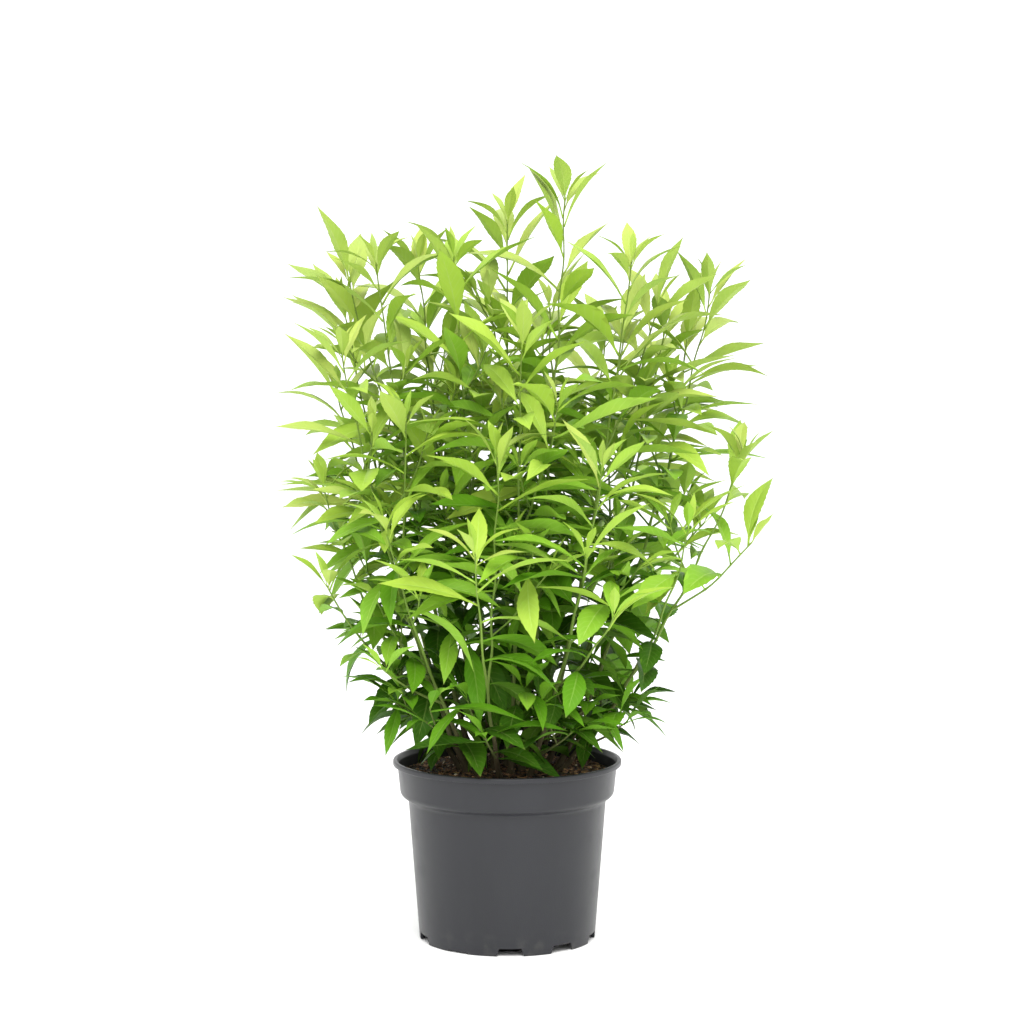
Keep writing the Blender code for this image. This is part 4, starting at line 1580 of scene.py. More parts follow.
@dataclass
class Leaves:
    """Every leaf of the plant: its shapes, and the rule by which they stand on a shoot."""

    grown_length: float = 0.098
    shrink: float = 0.028  # of its length, each time that it finds no room
    buds: tuple[Place, ...] = (
        (0.32, 0.08, 0.30), (0.40, 0.34, 0.85), (0.50, 0.46, 1.15),
    )  # size, lean and rest of the leaves round a tip
    low_buds: Place = (0.90, 0.45, 1.10)  # what these gain near the soil
    bud_step: float = 0.0020
    first_row: float = 0.0055  # from the tip
    last_row: float = 0.008  # from the shoot's foot
    side_ahead: float = 0.022
    spray_ahead: float = 0.070
    every: float = 0.0158
    every_spread: Span = (0.85, 1.15)
    low_every: float = 2.80  # times as far apart near the soil
    young: float = 0.56
    young_every: float = 0.22
    grown_after: float = 0.042
    open_after: float = 0.085
    length_spread: Span = (0.84, 1.16)
    turn_spread: float = 0.25
    tilt: Span = (math.radians(25), math.radians(60))
    tilt_spread: float = 0.24
    low_tilt: float = 0.5
    rest: Span = (1.20, 2.06)  # angle from upright at which the tip points
    rest_spread: float = 0.62
    steep: Span = (0.52, 0.66)  # heights between which leaves come to stay steep
    steep_shut: float = 0.80
    steep_roll: float = 0.5
    least_arch: float = 0.12
    most_arch: float = 1.05
    most_lean: float = 2.3
    broad_share: float = 0.10  # of the leaves above the oldest ones
    broad_after: float = 0.03
    roll: float = 0.50
    stem_every: float = 0.0180
    stem_every_spread: Span = (0.8, 1.2)
    stem_bare: float = 0.026  # from the soil up
    stem_leaf: Span = (0.072, 0.098)
    stem_tilt: Span = (1.30, 1.90)
    stem_rest: Span = (2.30, 3.00)
    low_below: float = 0.350
    hang_below: float = 0.480
    low_hang: float = 0.62
    dense_below: float = 0.380
    tries: int = 18
    try_turn: float = 0.45  # how far a leaf turns about its shoot from try to try
    try_lean: float = 0.05
    rise: float = 0.08  # how much nearer the shoot a low leaf stands at each try
    level_across: float = 0.2  # a leaf nearer upright than this isn't set level
    crown: tuple[Place, ...] = (
        (0.17, 0.110, 0.0), (0.20, 0.158, 0.004), (0.30, 0.184, 0.0), (0.38, 0.216, 0.0),
        (0.44, 0.262, 0.013), (0.80, 0.268, 0.013),
    )  # height, radius, and how far to the right its middle lies
    root_reach: float = 0.12
    proud: float = 0.004  # how far a tip may stand out of the solids' box
    within_lip: float = 0.098
    over_soil: float = 0.003
    pot_height: float = 0.181
    aged_after: float = 0.17
    dark_from: float = 0.20  # height up to which leaves get the most painted shade near the soil
    dark_fades: float = 0.42  # and the height over it in which that goes
    inner_to: float = 0.85  # share of the crown's radius within which leaves get painted shade inside
    old_shade: float = 0.14
    # The next four darken the greens as painted shade: near the soil, where leaves are also older,
    # on young leaves at the foot, and inside the crown.
    low_shade: float = 0.51
    shaded: float = 0.42  # how much darker leaves near the soil are, steeply: painted shade there, and their greater age
    foot_painted_shade: float = 0.12
    inner_painted_shade: float = 0.55
    broad_shade: float = 0.05
    mass_shade: float = 0.06
    shade_spread: float = 0.12
    arches: tuple[float, ...] = (0.25, 0.60, 0.95, 1.30)
    lates: tuple[float, ...] = (1.10, 0.95, 0.90, 0.55)
    tapers: tuple[Span, ...] = ((1.50, 1.45), (1.20, 1.25))  # slender, broad
    widths: Span = (0.215, 0.260)
    broader: float = 0.125  # by which broad shapes are wider
    kinds: int = 4  # shapes for each arch
    form_seed: int = 77

    def __post_init__(self) -> None:
        """Draws the leaf shapes."""
        rng = random.Random(self.form_seed)
        self.forms = [
            LeafForm(
                arch=arch * rng.uniform(0.92, 1.08),
                fold=rng.uniform(0.28, 0.52) - 0.12 * arch,
                twist=rng.uniform(-0.28, 0.28),
                sway=rng.uniform(-0.09, 0.09),
                ripple=rng.uniform(0.05, 0.15),
                broad=rng.uniform(*self.widths) + (self.broader if kind % 2 else 0.0),
                late=late,
                taper=self.tapers[kind % 2],
            )
            for arch, late in zip(self.arches, self.lates)
            for kind in range(self.kinds)
        ]
        self.strips = [form.strip() for form in self.forms]

    def form_for(self, arch: float, broad: bool, rng: random.Random) -> int:
        """The number of a shape that bends about as much as asked, slender or broad."""
        near = min(range(len(self.arches)), key=lambda k: abs(self.arches[k] - arch))
        return near * self.kinds + 2 * rng.randrange(self.kinds // 2) + broad

    def hang(self, height: float) -> float:
        """How far leaves hang at a height: 0 in the upper crown, 1 at the soil."""
        return max(0.0, (self.hang_below - height) / (self.hang_below - SOIL_TOP))

    def rows_along(self, shoot: Shoot, ahead: float, rng: random.Random) -> list[LeafRow]:
        """Plans leaves from a shoot's tip down: small and upright first, then long and spread.

        Args:
            shoot: The shoot.
            ahead: How much sooner its leaves are full grown, in metres of shoot.
            rng: The mass's random draws.

        Returns:
            A row for each leaf.
        """
        turn = rng.uniform(0.0, math.tau)
        rows = []
        more, out, down = (gain * self.hang(shoot.curve[2].z) for gain in self.low_buds)
        for k, (size, lean, rest) in enumerate(self.buds):
            share = 1.0 - self.bud_step * k / shoot.length
            at = turn + k * GOLDEN_TURN
            length = self.grown_length * size * (1.0 + more)
            rows.append(LeafRow(share, at, length, lean + out, rest + down, 0.0, ahead))
        turn += len(rows) * GOLDEN_TURN
        behind = self.first_row
        while behind < shoot.length * (1.0 - shoot.first) - self.last_row:
            share = 1.0 - behind / shoot.length
            grown = min(1.0, (behind + ahead) / self.grown_after)
            opened = min(1.0, (behind + ahead) / self.open_after)
            height = shoot.at(share).z
            hang = self.hang(height)
            steep = float(np.interp(height, self.steep, (0.0, 1.0)))
            opened *= 1.0 - self.steep_shut * steep
            length = self.grown_length * between((self.young, 1.0), grown)
            length *= rng.uniform(*self.length_spread)
            tilt = between(self.tilt, opened)
            tilt += rng.uniform(-self.tilt_spread, self.tilt_spread)
            rest = between(self.rest, opened)
            rest += rng.uniform(-self.rest_spread, self.rest_spread) + hang * self.low_hang
            roll = rng.uniform(-self.roll, self.roll) * (1.0 - self.steep_roll * steep)
            tilt += hang * self.low_tilt
            rows.append(LeafRow(share, turn, length, tilt, rest, roll, behind + ahead))
            turn += GOLDEN_TURN + rng.uniform(-self.turn_spread, self.turn_spread)
            dense = unit((self.dense_below - height) / (self.dense_below - SOIL_TOP))
            step = self.every * between((self.young_every, 1.0), grown)
            step *= 1.0 - (1.0 - self.low_every) * dense
            behind += step * rng.uniform(*self.every_spread)
        return rows

    def rows_low(self, stem: Shoot, rng: random.Random) -> list[LeafRow]:
        """Plans the old, broad leaves that hang from a stem below its foliage.

        Args:
            stem: The stem.
            rng: The mass's random draws.

        Returns:
            A row for each leaf.
        """
        rows = []
        turn = rng.uniform(0.0, math.tau)
        run = stem.length * stem.first
        along = run - 0.5 * self.stem_every
        while along > self.stem_bare:
            length, tilt = rng.uniform(*self.stem_leaf), rng.uniform(*self.stem_tilt)
            rest, roll = rng.uniform(*self.stem_rest), rng.uniform(-self.roll, self.roll)
            rows.append(LeafRow(along / stem.length, turn, length, tilt, rest, roll, 1.0))
            turn += GOLDEN_TURN
            along -= self.stem_every * rng.uniform(*self.stem_every_spread)
        return rows

    def in_crown(self, tip: Vector, root: Vector) -> bool:
        """Says whether a leaf stays in the crown, or little outside its root, and off the pot.

        Args:
            tip: Its tip.
            root: Its root.

        Returns:
            True if it does.
        """
        over_pot = math.hypot(tip.x, tip.y) >= self.within_lip
        floor = self.pot_height if over_pot else SOIL_TOP
        beyond = max(max(low - at, at - high) for low, at, high in zip(CAD_BOX[0], tip, CAD_BOX[1]))
        if tip.z < floor + self.over_soil or beyond > self.proud:
            return False
        return self.out_of(tip) <= 1.0 or self.out_of(tip) <= self.out_of(root) + self.root_reach

    def out_of(self, point: Vector) -> float:
        """Says how far out a point is.

        Args:
            point: The point.

        Returns:
            Its distance as a share of the crown's radius at its height.
        """
        heights, radii, middles = zip(*self.crown)
        middle = float(np.interp(point.z, heights, middles))
        return math.hypot(point.x - middle, point.y) / float(np.interp(point.z, heights, radii))

    def stance(self, way: Vector, row: LeafRow, trial: int, low: bool) -> Matrix:
        """Turns a leaf as one of its tries has it.

        Args:
            way: The direction in which its shoot grows.
            row: Its plan.
            trial: Number of the try, from 0.
            low: Whether it is one of the low leaves, which hang.

        Returns:
            Its own axes as columns: across, ahead and over.
        """
        side = way.orthogonal().normalized()
        side.rotate(Matrix.Rotation(row.turn + self.try_turn * trial * (-1) ** trial, 3, way))
        if low:
            lean = row.tilt - self.rise * trial * min(1.0, row.tilt)
        else:
            lean = row.tilt + self.try_lean * trial
        ahead = (way * math.cos(lean) + side * math.sin(lean)).normalized()
        if low:
            short = max(0.0, row.rest - ahead.angle(UP) - self.arches[-1])
            lean = min(self.most_lean, lean + short)
            ahead = (way * math.cos(lean) + side * math.sin(lean)).normalized()
        across = ahead.cross(UP)
        if across.length <= self.level_across:
            across = side.cross(way)
        across = (Matrix.Rotation(row.roll, 3, ahead) @ across.normalized()).normalized()
        return Matrix((across, ahead, across.cross(ahead).normalized())).transposed()

    def shade_of(
        self, mass: Mass, root: Vector, middle: Vector, behind: float, broad: bool
    ) -> float:
        """Says how old a leaf is and how much painted shade its green gets.

        Args:
            mass: The mass that it belongs to.
            root: Its root.
            middle: A point half way along it.
            behind: Metres of shoot since it opened.
            broad: Whether it is a broad one.

        Returns:
            The shade, from 0 for the newest and least shaded to 1 for the oldest and most shaded.
        """
        age = min(1.0, behind / self.aged_after)
        low = 1.0 - unit((root.z - self.dark_from) / self.dark_fades)
        inner = max(0.0, 1.0 - self.out_of(middle) / self.inner_to)
        # Painted shade: nearness to the soil and depth inside the crown darken the green, on top of
        # age.
        shade = self.low_shade * low + self.shaded * low * low
        shade = self.old_shade * age + shade * (0.55 + 0.45 * age)
        shade += self.foot_painted_shade * low ** 4 * (1.0 - age)
        shade += self.inner_painted_shade * inner * (0.30 + 0.70 * low) + self.broad_shade * broad
        spread = mass.rng.uniform(-self.shade_spread, self.shade_spread)
        return shade + (self.mass_shade * mass.cast + spread)

    def try_leaf(self, mass: Mass, shoot: Shoot, row: LeafRow, space: Space) -> bool:
        """Tries a leaf in a few directions and keeps the first that meets nothing.

        Args:
            mass: The mass that it belongs to.
            shoot: The shoot that bears it.
            row: Its plan.
            space: What is already there.

        Returns:
            Whether it found room.
        """
        root, way = shoot.place(row.share), shoot.way(row.share)
        broad = low = root.z < self.low_below
        if row.behind <= self.open_after:
            broad = self.broad_after < row.behind and mass.rng.random() < self.broad_share
        for trial in range(self.tries):
            turn = self.stance(way, row, trial, low)
            upright = turn.col[1].angle(UP)
            size = row.length * (1.0 - self.shrink * trial)
            room = unit((root.z - SOIL_TOP - 2 * self.over_soil) / size)
            lowest = 2.0 * math.acos(-room) - upright
            arch = max(self.least_arch, min(row.rest, lowest) - upright)
            form = self.form_for(arch if low else min(self.most_arch, arch), broad, mass.rng)
            points, faces = self.strips[form]
            points = [root + turn @ p * size for p in points]
            if not self.in_crown(points[-1], root) or space.meets(points, faces, set()):
                continue
            space.add(mass.name, points, faces)
            shade = self.shade_of(mass, root, points[len(points) // 2], row.behind, broad)
            cell = (mass.rng.randrange(MAP_CELLS), mass.rng.randrange(MAP_CELLS))
            mass.leaves.append(LeafPlan(root, turn, size, form, Tint.of(shade), cell))
            shoot.knots.append(row.share)
            return True
        return False

    def place_all(self, masses: list[Mass], space: Space) -> int:
        """Places leaves in turn, mass by mass, so that none takes all the room.

        Args:
            masses: The masses.
            space: What is already there.

        Returns:
            How many leaves were placed.
        """
        hanging, others = [], []
        for mass in masses:
            stem = mass.shoots[0]
            low = self.rows_low(stem, mass.rng) if stem.first else []
            hanging.append((mass, [(stem, row) for row in low]))
            rows = []
            young = self.spray_ahead if mass.name.startswith("spray") else self.side_ahead
            for shoot in mass.shoots:
                short = shoot.first == 0.0 and shoot.length < HABIT.long_shoot
                found = self.rows_along(shoot, young if short else 0.0, mass.rng)
                rows += [(shoot, row) for row in found]
            others.append((mass, rows))
        placed = 0
        for waiting in (hanging, others):
            log.info("leaves planned: %d", sum(len(rows) for _, rows in waiting))
            for k in range(max(len(rows) for _, rows in waiting)):
                for mass, rows in waiting:
                    if k < len(rows):
                        placed += self.try_leaf(mass, *rows[k], space)
        return placed

    def build(self, masses: list[Mass], tint: Tint) -> Object:
        """Makes all leaves of one green as one piece.

        Args:
            masses: The masses that bear them.
            tint: The green.

        Returns:
            The joined leaves.
        """
        plans = [plan for mass in masses for plan in mass.leaves if plan.tint is tint]
        name = f"leaves_{tint.name.lower()}"
        leaves = mesh_object(name, [plan.root for plan in plans], [])
        turns = [part for plan in plans for part in plan.turn.to_euler()]
        cells = [part for plan in plans for part in (*plan.cell, 0.0)]
        mark(leaves.data, "facing", "FLOAT_VECTOR", "POINT", turns)
        mark(leaves.data, "cell", "FLOAT_VECTOR", "POINT", cells)
        mark(leaves.data, "size", "FLOAT", "POINT", [plan.length for plan in plans])
        mark(leaves.data, "form", "INT", "POINT", [plan.form for plan in plans])
        shapes = bpy.data.collections.new("leaf_shapes")
        for k, form in enumerate(self.forms):
            shapes.objects.link(form.build(f"leaf_shape_{k:02d}"))
        recipe = Recipe(f"{name}_on_shoots")
        given = recipe.takes({
            "Shapes": ("Collection", shapes),
            "Size": ("Float", 1.0),
            "Cells": ("Int", MAP_CELLS),
            "Top": ("Material", LeafSkin(tint, Side.TOP).material()),
            "Under": ("Material", LeafSkin(tint, Side.UNDER).material()),
        })
        facing = recipe.attribute("facing", "FLOAT_VECTOR")
        blades = recipe.laid(given, recipe.shapes(given.of("Shapes")), facing, {
            "Pick Instance": True,
            "Instance Index": recipe.attribute("form", "INT"),
            "Scale": recipe.attribute("size", "FLOAT") * given.of("Size"),
        })
        spot, cell = (recipe.attribute(word, "FLOAT_VECTOR") for word in ("leaf_cell", "cell"))
        spot = recipe.vector("DIVIDE", recipe.vector("ADD", spot, cell), given.of("Cells"))
        kind = {"data_type": "FLOAT2", "domain": "CORNER"}
        spots = {"Geometry": blades, "Name": LEAF_MAP, "Value": spot}
        blades = recipe.node("GeometryNodeStoreNamedAttribute", kind, spots)
        blades = recipe.dressed(blades, given.of("Top"))
        under = recipe.attribute("underside", "BOOLEAN")
        recipe.grow(leaves, recipe.dressed(blades, given.of("Under"), under))
        unmark(leaves.data, "leaf_cell", "cell", "facing", "size", "form", "underside")
        forget(shapes)
        return leaves


class Shrub:
    """The whole plant above the compost, grown by the same rule as the solids."""

    def __init__(self, habit: Habit) -> None:
        """Works out every stem and every mass's shoots.

        Args:
            habit: The named sizes that it grows by.
        """
        self.habit = habit
        self.space = Space()
        self.stems: list[Shoot] = []
        self.masses: list[Mass] = []
        for k, tips in enumerate(self.tips()):
            stem = self.stem(tips[0])
            self.stems.append(stem)
            shoots = [stem] + [self.fork(stem, tip) for tip in tips[1:]]
            twigs = self.twigs_on(shoots, habit.side_twigs, random.Random(habit.twig_seed + k))
            label = f"{k + 1:02d}"
            seed = habit.leaf_seed + k
            self.masses.append(Mass(f"foliage_{label}", f"stem_{label}", shoots, twigs, seed))
        self.add_sprays(random.Random(habit.spray_seed))

    def tips(self) -> list[list[Place]]:
        """Where each stem and its fork end: those in view, then those behind.

        Returns:
            A stem's tip and its fork's, for each stem.
        """
        habit = self.habit
        rng = random.Random(habit.stem_seed)
        rows = [list(row) for row in FRONT_STEMS]
        low, high = habit.back_span
        for k in range(habit.back_stems):
            bearing = low + (high - low) * k / (habit.back_stems - 1)
            reach, height = rng.uniform(*habit.back_reach), rng.uniform(*habit.back_height)
            beside = bearing + habit.back_fork_turn * (-1) ** k
            near = reach * habit.back_fork_reach
            rows.append([
                (reach * math.cos(bearing), reach * math.sin(bearing), height),
                (near * math.cos(beside), near * math.sin(beside), height - habit.back_fork_drop),
            ])
        return rows

    def stem(self, tip: Place) -> Shoot:
        """A stem: out of the soil near the middle, leaning out, then turning up.

        Args:
            tip: Its tip.

        Returns:
            The stem.
        """
        habit, end = self.habit, Vector(tip)
        out = Vector((end.x, end.y, 0.0))
        foot = out * habit.foot_share
        if foot.length > habit.foot_reach:
            foot = foot.normalized() * habit.foot_reach
        foot.z = SOIL_TOP + GAP
        middle = foot + (out - Vector((foot.x, foot.y, 0.0))) * habit.lean_out
        middle.z = foot.z + (end.z - foot.z) * habit.lean_up
        vigour = habit.short_stem + (1.0 - habit.short_stem) * (end.z - SOIL_TOP) / habit.tallest
        stem = Shoot(foot, middle, end, habit.stem_radius * vigour)
        stem.first = habit.stem_end + GAP / stem.speed(habit.stem_end)
        return stem

    def fork(self, stem: Shoot, tip: Place) -> Shoot:
        """A second shoot that leaves a stem inside its foliage.

        Args:
            stem: The stem.
            tip: The fork's own tip.

        Returns:
            The fork.
        """
        habit, end = self.habit, Vector(tip)
        beside = (end - stem.at(stem.share_at_height(end.z))).length
        leaves_at = stem.share_at_height(end.z - habit.fork_below - habit.fork_slant * beside)
        share = max(habit.stem_end + habit.fork_from, leaves_at)
        start = stem.core(share)
        middle = start.lerp(end, habit.fork_bend)
        middle += Vector((end.x - start.x, end.y - start.y, 0.0)) * habit.fork_out
        made = Shoot(start, middle, end, stem.radius(share) * habit.fork_thick)
        return self.seated(made, stem, share)

    def twig(
        self, parent: Shoot, share: float, turn: float, length: float, rng: random.Random
    ) -> Shoot:
        """A short twig that leaves its parent at a slant and bends up.

        Args:
            parent: The shoot that bears it.
            share: Where on that shoot.
            turn: Round the shoot, in radians.
            length: Its length.
            rng: Draws its slant.

        Returns:
            The twig.
        """
        way = parent.way(share)
        side = way.orthogonal().normalized()
        side.rotate(Matrix.Rotation(turn, 3, way))
        start = parent.core(share)
        out = (side + way * rng.uniform(*self.habit.twig_slant)).normalized()
        out.z = max(out.z, self.habit.least_rise)
        out.normalize()
        middle = start + out * length / 2
        rise = self.habit.twig_rise
        end = middle + (out * rise[0] + UP * rise[1]).normalized() * length / 2
        middle = middle.lerp(start.lerp(end, 0.5), self.habit.twig_bow)
        made = Shoot(start, middle, end, parent.radius(share) * self.habit.twig_thick)
        return self.seated(made, parent, share)

    @staticmethod
    def seated(shoot: Shoot, parent: Shoot, share: float) -> Shoot:
        """Moves a shoot's start onto the middle of the finished shoot that bears it."""
        shoot.curve = (parent.place(share), *shoot.curve[1:])
        return shoot

    def twigs_on(self, shoots: list[Shoot], rule: TwigRule, rng: random.Random) -> list[Shoot]:
        """Twigs at even steps along the shoots, turned by the golden angle.

        Args:
            shoots: The shoots.
            rule: Their size.
            rng: Draws turns, steps and lengths.

        Returns:
            The twigs.
        """
        found = []
        for shoot in shoots:
            turn = rng.uniform(0.0, math.tau)
            behind = rule.start * rng.uniform(*rule.first)
            while behind < shoot.length * (1.0 - shoot.first) - self.habit.twig_room:
                share = 1.0 - behind / shoot.length
                if rule.heights[0] < shoot.at(share).z < rule.heights[1]:
                    length = rng.uniform(*rule.length)
                    found.append(self.twig(shoot, share, turn, length, rng))
                turn += GOLDEN_TURN
                behind += rule.every * rng.uniform(*rule.step)
        return found

    def add_sprays(self, rng: random.Random) -> None:
        """Adds the low sprays that stand on the bare parts of the stems.

        Args:
            rng: Draws their bearings, lengths and forks.
        """
        habit = self.habit
        for k in range(habit.sprays):
            number = k * habit.spray_step % len(self.stems)
            stem = self.stems[number]
            share = habit.stem_end * between(habit.spray_span, k * GOLDEN_SHARE % 1.0)
            tip = stem.curve[2]
            swing = rng.uniform(-habit.spray_swing, habit.spray_swing)
            bearing = math.atan2(tip.x, -tip.y) + swing
            spray = self.spray(stem, share, bearing, rng.uniform(*habit.spray_length))
            turn = rng.uniform(0.0, math.tau)
            length = rng.uniform(*habit.spray_fork_length)
            twig = self.twig(spray, habit.spray_fork_at, turn, length, rng)
            if spray.curve[2].z < habit.short_below:  # its leaves are longer than the solids' there
                spray, twig = spray.shortened(habit.short_share), twig.shortened(habit.short_share)
            bough, seed = f"stem_{number + 1:02d}", habit.spray_leaf_seed + k
            self.masses.append(Mass(f"spray_{k + 1:02d}", bough, [spray], [twig], seed))

    def spray(self, stem: Shoot, share: float, bearing: float, length: float) -> Shoot:
        """A spray's own shoot: it starts at the side of a stem, goes out and bends up.

        Args:
            stem: The stem.
            share: Where on the stem.
            bearing: Which way it goes, in radians from the front.
            length: Its length.

        Returns:
            The shoot.
        """
        habit, way = self.habit, stem.way(share)
        out = Vector((math.sin(bearing), -math.cos(bearing), 0.0))
        out = (out - way * out.dot(way)).normalized()
        start = stem.at(share) + out * (stem.radius(share) * habit.spray_off + GAP)
        middle = start + out * length * habit.spray_bend[0]
        rise = (out * habit.spray_rise[0] + UP * habit.spray_rise[1]).normalized()
        end = middle + rise * length * habit.spray_bend[1]
        middle = middle.lerp(start.lerp(end, 0.5), habit.spray_bow)
        return Shoot(start, middle, end, stem.radius(share) * habit.spray_thick)

    def add_held(self) -> None:
        """Tells the space of the pot, the compost and the bare stems."""
        for name in ("pot", "soil"):
            mesh = frame["nodes"][name].data
            mesh.calc_loop_triangles()
            faces = [tuple(t.vertices) for t in mesh.loop_triangles]
            self.space.add(name, [v.co for v in mesh.vertices], faces)
        for k, stem in enumerate(self.stems):
            points, faces = stem.tube(0.0, self.habit.stem_end, 6, 6, 0.0)
            self.space.add(f"stem_{k + 1:02d}", points, faces)

    def place_shoot(self, mass: Mass, shoot: Shoot, beside: set[str]) -> bool:
        """Adds a shoot unless, a little thicker, it meets what it doesn't grow from.

        Args:
            mass: The mass that it belongs to.
            shoot: The shoot.
            beside: Names of what it may meet.

        Returns:
            Whether it found room.
        """
        wide, faces = shoot.tube(shoot.first, 1.0, 3, shoot.rings, self.habit.clear)
        if self.space.meets(wide, faces, beside):
            return False
        self.space.add(mass.name, shoot.tube(shoot.first, 1.0, 3, shoot.rings, 0.0)[0], faces)
        return True

    def grow(self, leaves: Leaves) -> None:
        """Places shoots, twigs, finer twigs and then leaves.

        Args:
            leaves: The leaves' rule.
        """
        self.add_held()
        for mass in self.masses:
            for shoot in mass.shoots:
                beside = {mass.name, mass.bough} if shoot is mass.shoots[0] else {mass.name}
                self.place_shoot(mass, shoot, beside)
        for mass in self.masses:
            mass.shoots += [t for t in mass.twigs if self.place_shoot(mass, t, {mass.name})]
        count = 0
        for k, mass in enumerate(self.masses):
            rng = random.Random(self.habit.fine_seed + k)
            fine = self.twigs_on(mass.shoots, self.habit.fine_twigs, rng)
            kept = [t for t in fine if self.place_shoot(mass, t, {mass.name, mass.bough})]
            mass.shoots += kept
            count += len(kept)
        log.info("finer twigs: %d", count)
        log.info("leaves: %d", leaves.place_all(self.masses, self.space))

    def bare_stems(self) -> Object:
        """Makes the stems from the soil to where their foliage starts, with ridged bark.

        Returns:
            The joined stems.
        """
        habit, runs = self.habit, []
        last = habit.stem_end * habit.past_end
        steps = habit.stem_rings - 1
        for stem in self.stems:
            rows = []
            for k in range(steps + 1):
                share = last * k / steps
                flare = 1.0 + habit.flare * math.exp(-share * stem.length / habit.flare_height)
                slim = 1.0 - (1.0 - habit.slim_from) * k / steps
                rows.append((stem.place(share), stem.radius(share) * flare * slim))
            foot = rows[0][0].copy()
            foot.z -= habit.sunk
            runs.append([(foot, rows[0][1] * habit.sunk_wide)] + rows)
        return Rods("bare_stems", 14, Bark("stem_bark"), relief=0.00028).build(runs)

    def shoots(self) -> Object:
        """Makes the green shoots, forks, twigs and finer twigs, swollen where leaves stand.

        Returns:
            The joined shoots.
        """
        habit, runs = self.habit, []
        for shoot in [shoot for mass in self.masses for shoot in mass.shoots]:
            run = shoot.length * (1.0 - shoot.first)
            steps = max(5, round(run / habit.ring_every))
            knots = np.array(shoot.knots or [math.inf])
            slim, end = (habit.slim_from, habit.slim_to) if shoot.first else habit.twig_slim
            rows = []
            for k in range(steps + 1):
                share = shoot.first + (1.0 - shoot.first) * k / steps
                near = np.abs(knots - share).min() * shoot.length
                swell = 1.0 + habit.swell * math.exp(-((near / habit.swell_reach) ** 2))
                slimmer = slim + (end - slim) * k / steps
                rows.append((shoot.place(share), shoot.radius(share) * swell * slimmer))
            runs.append(rows)
        skin = Bark("shoot_skin", corky=(0.095, 0.110, 0.036))
        return Rods("green_shoots", 7, skin, relief=0.00006).build(runs)


@dataclass
class Rods:
    """Many tapering rods made from runs of points, as one piece."""

    name: str
    sides: int
    finish: Bark
    relief: float
    ridges: float = 420.0
    stretch: float = 0.14  # of the ridges, along Z
    sharp: float = 50.0  # edges that turn more, in degrees, stay sharp

    def build(self, runs: list[list[tuple[Vector, float]]]) -> Object:
        """Sweeps a ring along every run and roughens the surface a little.

        Args:
            runs: For each rod its points and the radius at each.

        Returns:
            The joined rods.
        """
        points, edges, radii = [], [], []
        for run in runs:
            first = len(points)
            points += [p for p, _ in run]
            radii += [r for _, r in run]
            edges += [(k, k + 1) for k in range(first, len(points) - 1)]
        rods = mesh_object(self.name, points, [], edges)
        mark(rods.data, "thickness", "FLOAT", "POINT", radii)
        recipe = Recipe(f"{self.name}_along_runs")
        given = recipe.takes({
            "Sides": ("Int", self.sides),
            "Relief": ("Float", self.relief),
            "Ridges": ("Float", self.ridges),
            "Finish": ("Material", self.finish.material()),
        })
        curve = recipe.node("GeometryNodeMeshToCurve", None, {"Mesh": given})
        circle = {"Resolution": given.of("Sides"), "Radius": 1.0}
        ring = recipe.node("GeometryNodeCurvePrimitiveCircle", None, circle)
        swept = recipe.node("GeometryNodeCurveToMesh", None, {
            "Curve": curve, "Profile Curve": ring, "Fill Caps": True,
            "Scale": recipe.attribute("thickness", "FLOAT"),
        })
        place = recipe.node("GeometryNodeInputPosition")
        drawn = recipe.vector("MULTIPLY", place, (1.0, 1.0, self.stretch))
        rough = recipe.noise(drawn, given.of("Ridges"), 2.0)
        normal = recipe.node("GeometryNodeInputNormal")
        move = recipe.scaled(normal, (rough - 0.5) * given.of("Relief") * 2.0)
        moved = {"Geometry": swept, "Offset": move}
        swept = recipe.real(recipe.node("GeometryNodeSetPosition", None, moved))
        recipe.grow(rods, recipe.dressed(swept, given.of("Finish")))
        unmark(rods.data, "thickness")
        face_out(rods)
        shade_round(rods, self.sharp)
        return rods


# Studio


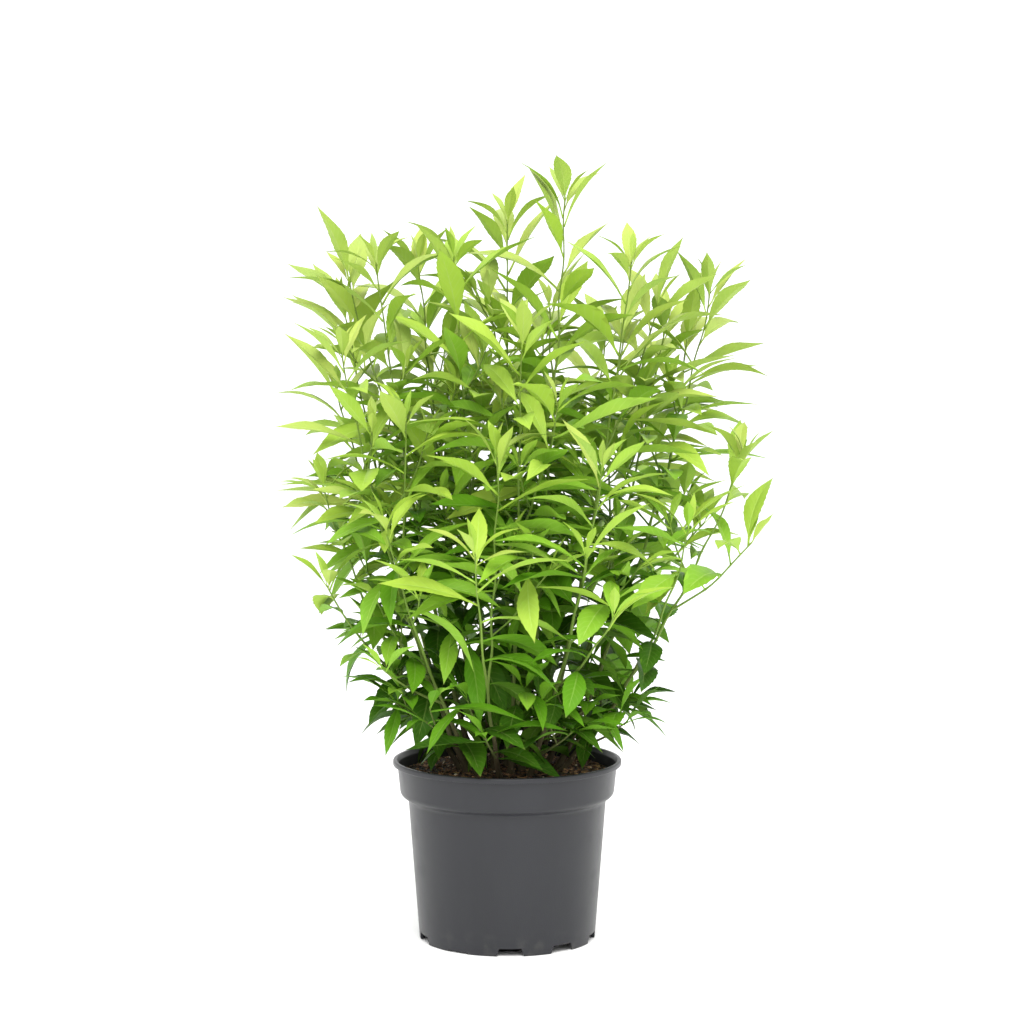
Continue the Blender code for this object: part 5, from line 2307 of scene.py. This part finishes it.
@dataclass
class Studio:
    """A plain white floor, soft white light from all round and the photograph's camera."""

    camera_place: Vector = field(default_factory=lambda: Vector((0.0048, -2.6, 0.643)))
    camera_pitch: float = 0.0818  # down from level, in radians
    focal_pixels: float = 2610.0
    frame_pixels: float = 1024.0
    sensor: float = 36.0
    reach: float = 12.0  # of the floor, each way
    white: Span = (0.965, 0.975)  # of the floor, which is a little cloudy
    cloud_scale: float = 0.6
    air: float = 1.40  # strength of the light from all round
    lamp_place: Vector = field(default_factory=lambda: Vector((0.2, -2.1, 2.8)))
    lamp_aim: Vector = field(default_factory=lambda: Vector((0.0, 0.0, 0.42)))
    lamp_size: float = 2.0
    lamp_power: float = 88.0  # in watts
    lamp_colour: Colour = (1.0, 0.995, 0.97)

    def floor(self) -> None:
        """Lays a wide white floor."""
        reach = self.reach
        corners = [(x * reach, y * reach, 0.0) for x, y in ((-1, -1), (1, -1), (1, 1), (-1, 1))]
        floor = mesh_object("studio_floor", corners, [(0, 1, 2, 3)])
        skin = Skin("studio_white")
        soft = skin.noise(skin.place(), self.cloud_scale, 2.0)
        low, high = self.white
        white = skin.blend(soft, (low, low, low), (high, high, high))
        floor.data.materials.append(skin.close(skin.shader(white, 0.85, None)))

    def lamp(self) -> None:
        """Hangs a soft square lamp that faces the plant."""
        data = bpy.data.lights.new("key_lamp", "AREA")
        data.shape, data.size = "SQUARE", self.lamp_size
        data.energy, data.color = self.lamp_power, self.lamp_colour
        lamp = linked("key_lamp", data)
        lamp.location = self.lamp_place
        ray = self.lamp_aim - self.lamp_place
        lamp.rotation_euler = ray.to_track_quat("-Z", "Y").to_euler()

    def camera(self) -> None:
        """Stands the camera where the photograph's was."""
        data = bpy.data.cameras.new("photo_camera")
        data.lens = self.focal_pixels / self.frame_pixels * self.sensor
        data.sensor_width, data.clip_start, data.clip_end = self.sensor, 0.05, 60.0
        camera = linked("photo_camera", data)
        camera.location = self.camera_place
        camera.rotation_euler = (math.pi / 2 - self.camera_pitch, 0.0, 0.0)
        bpy.context.scene.camera = camera

    def build(self) -> None:
        """Sets floor, world, lamp and camera."""
        self.floor()
        world = bpy.data.worlds.new("studio_air")
        world.use_nodes = True
        air = world.node_tree.nodes["Background"]
        air.inputs["Color"].default_value = (1.0, 1.0, 1.0, 1.0)
        air.inputs["Strength"].default_value = self.air
        bpy.context.scene.world = world
        bpy.context.scene.view_settings.view_transform = "Standard"
        self.lamp()
        self.camera()


def settle(piece: Object, nodes: list[str]) -> None:
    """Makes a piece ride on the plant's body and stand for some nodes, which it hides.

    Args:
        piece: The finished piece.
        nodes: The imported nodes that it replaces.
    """
    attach(piece, ROOT)
    if nodes:
        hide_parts(*nodes)
    piece.data.calc_loop_triangles()
    log.info("%s: %d triangles", piece.name, len(piece.data.loop_triangles))


def main() -> None:
    """Builds pot, compost, stems, shoots, leaves and studio, and reports each piece."""
    logging.basicConfig(level=logging.INFO, format="%(name)s %(message)s")
    pot = Pot()
    settle(pot.build(), ["pot"])
    bed = Bed(pot)
    surface = bed.surface()
    crumbs = [bed.scatter(surface, kind) for kind in CrumbKind]
    settle(surface, ["soil"])
    for piece in crumbs:
        settle(piece, [])
    leaves = Leaves()
    shrub = Shrub(HABIT)
    shrub.grow(leaves)
    stems = [f"stem_{k + 1:02d}" for k in range(len(shrub.stems))]
    settle(shrub.bare_stems(), stems)
    settle(shrub.shoots(), [mass.name for mass in shrub.masses])
    for tint in Tint:
        bearers = [m.name for m in shrub.masses if any(p.tint is tint for p in m.leaves)]
        settle(leaves.build(shrub.masses, tint), bearers)
    Studio().build()


if __name__ == "__main__":
    main()
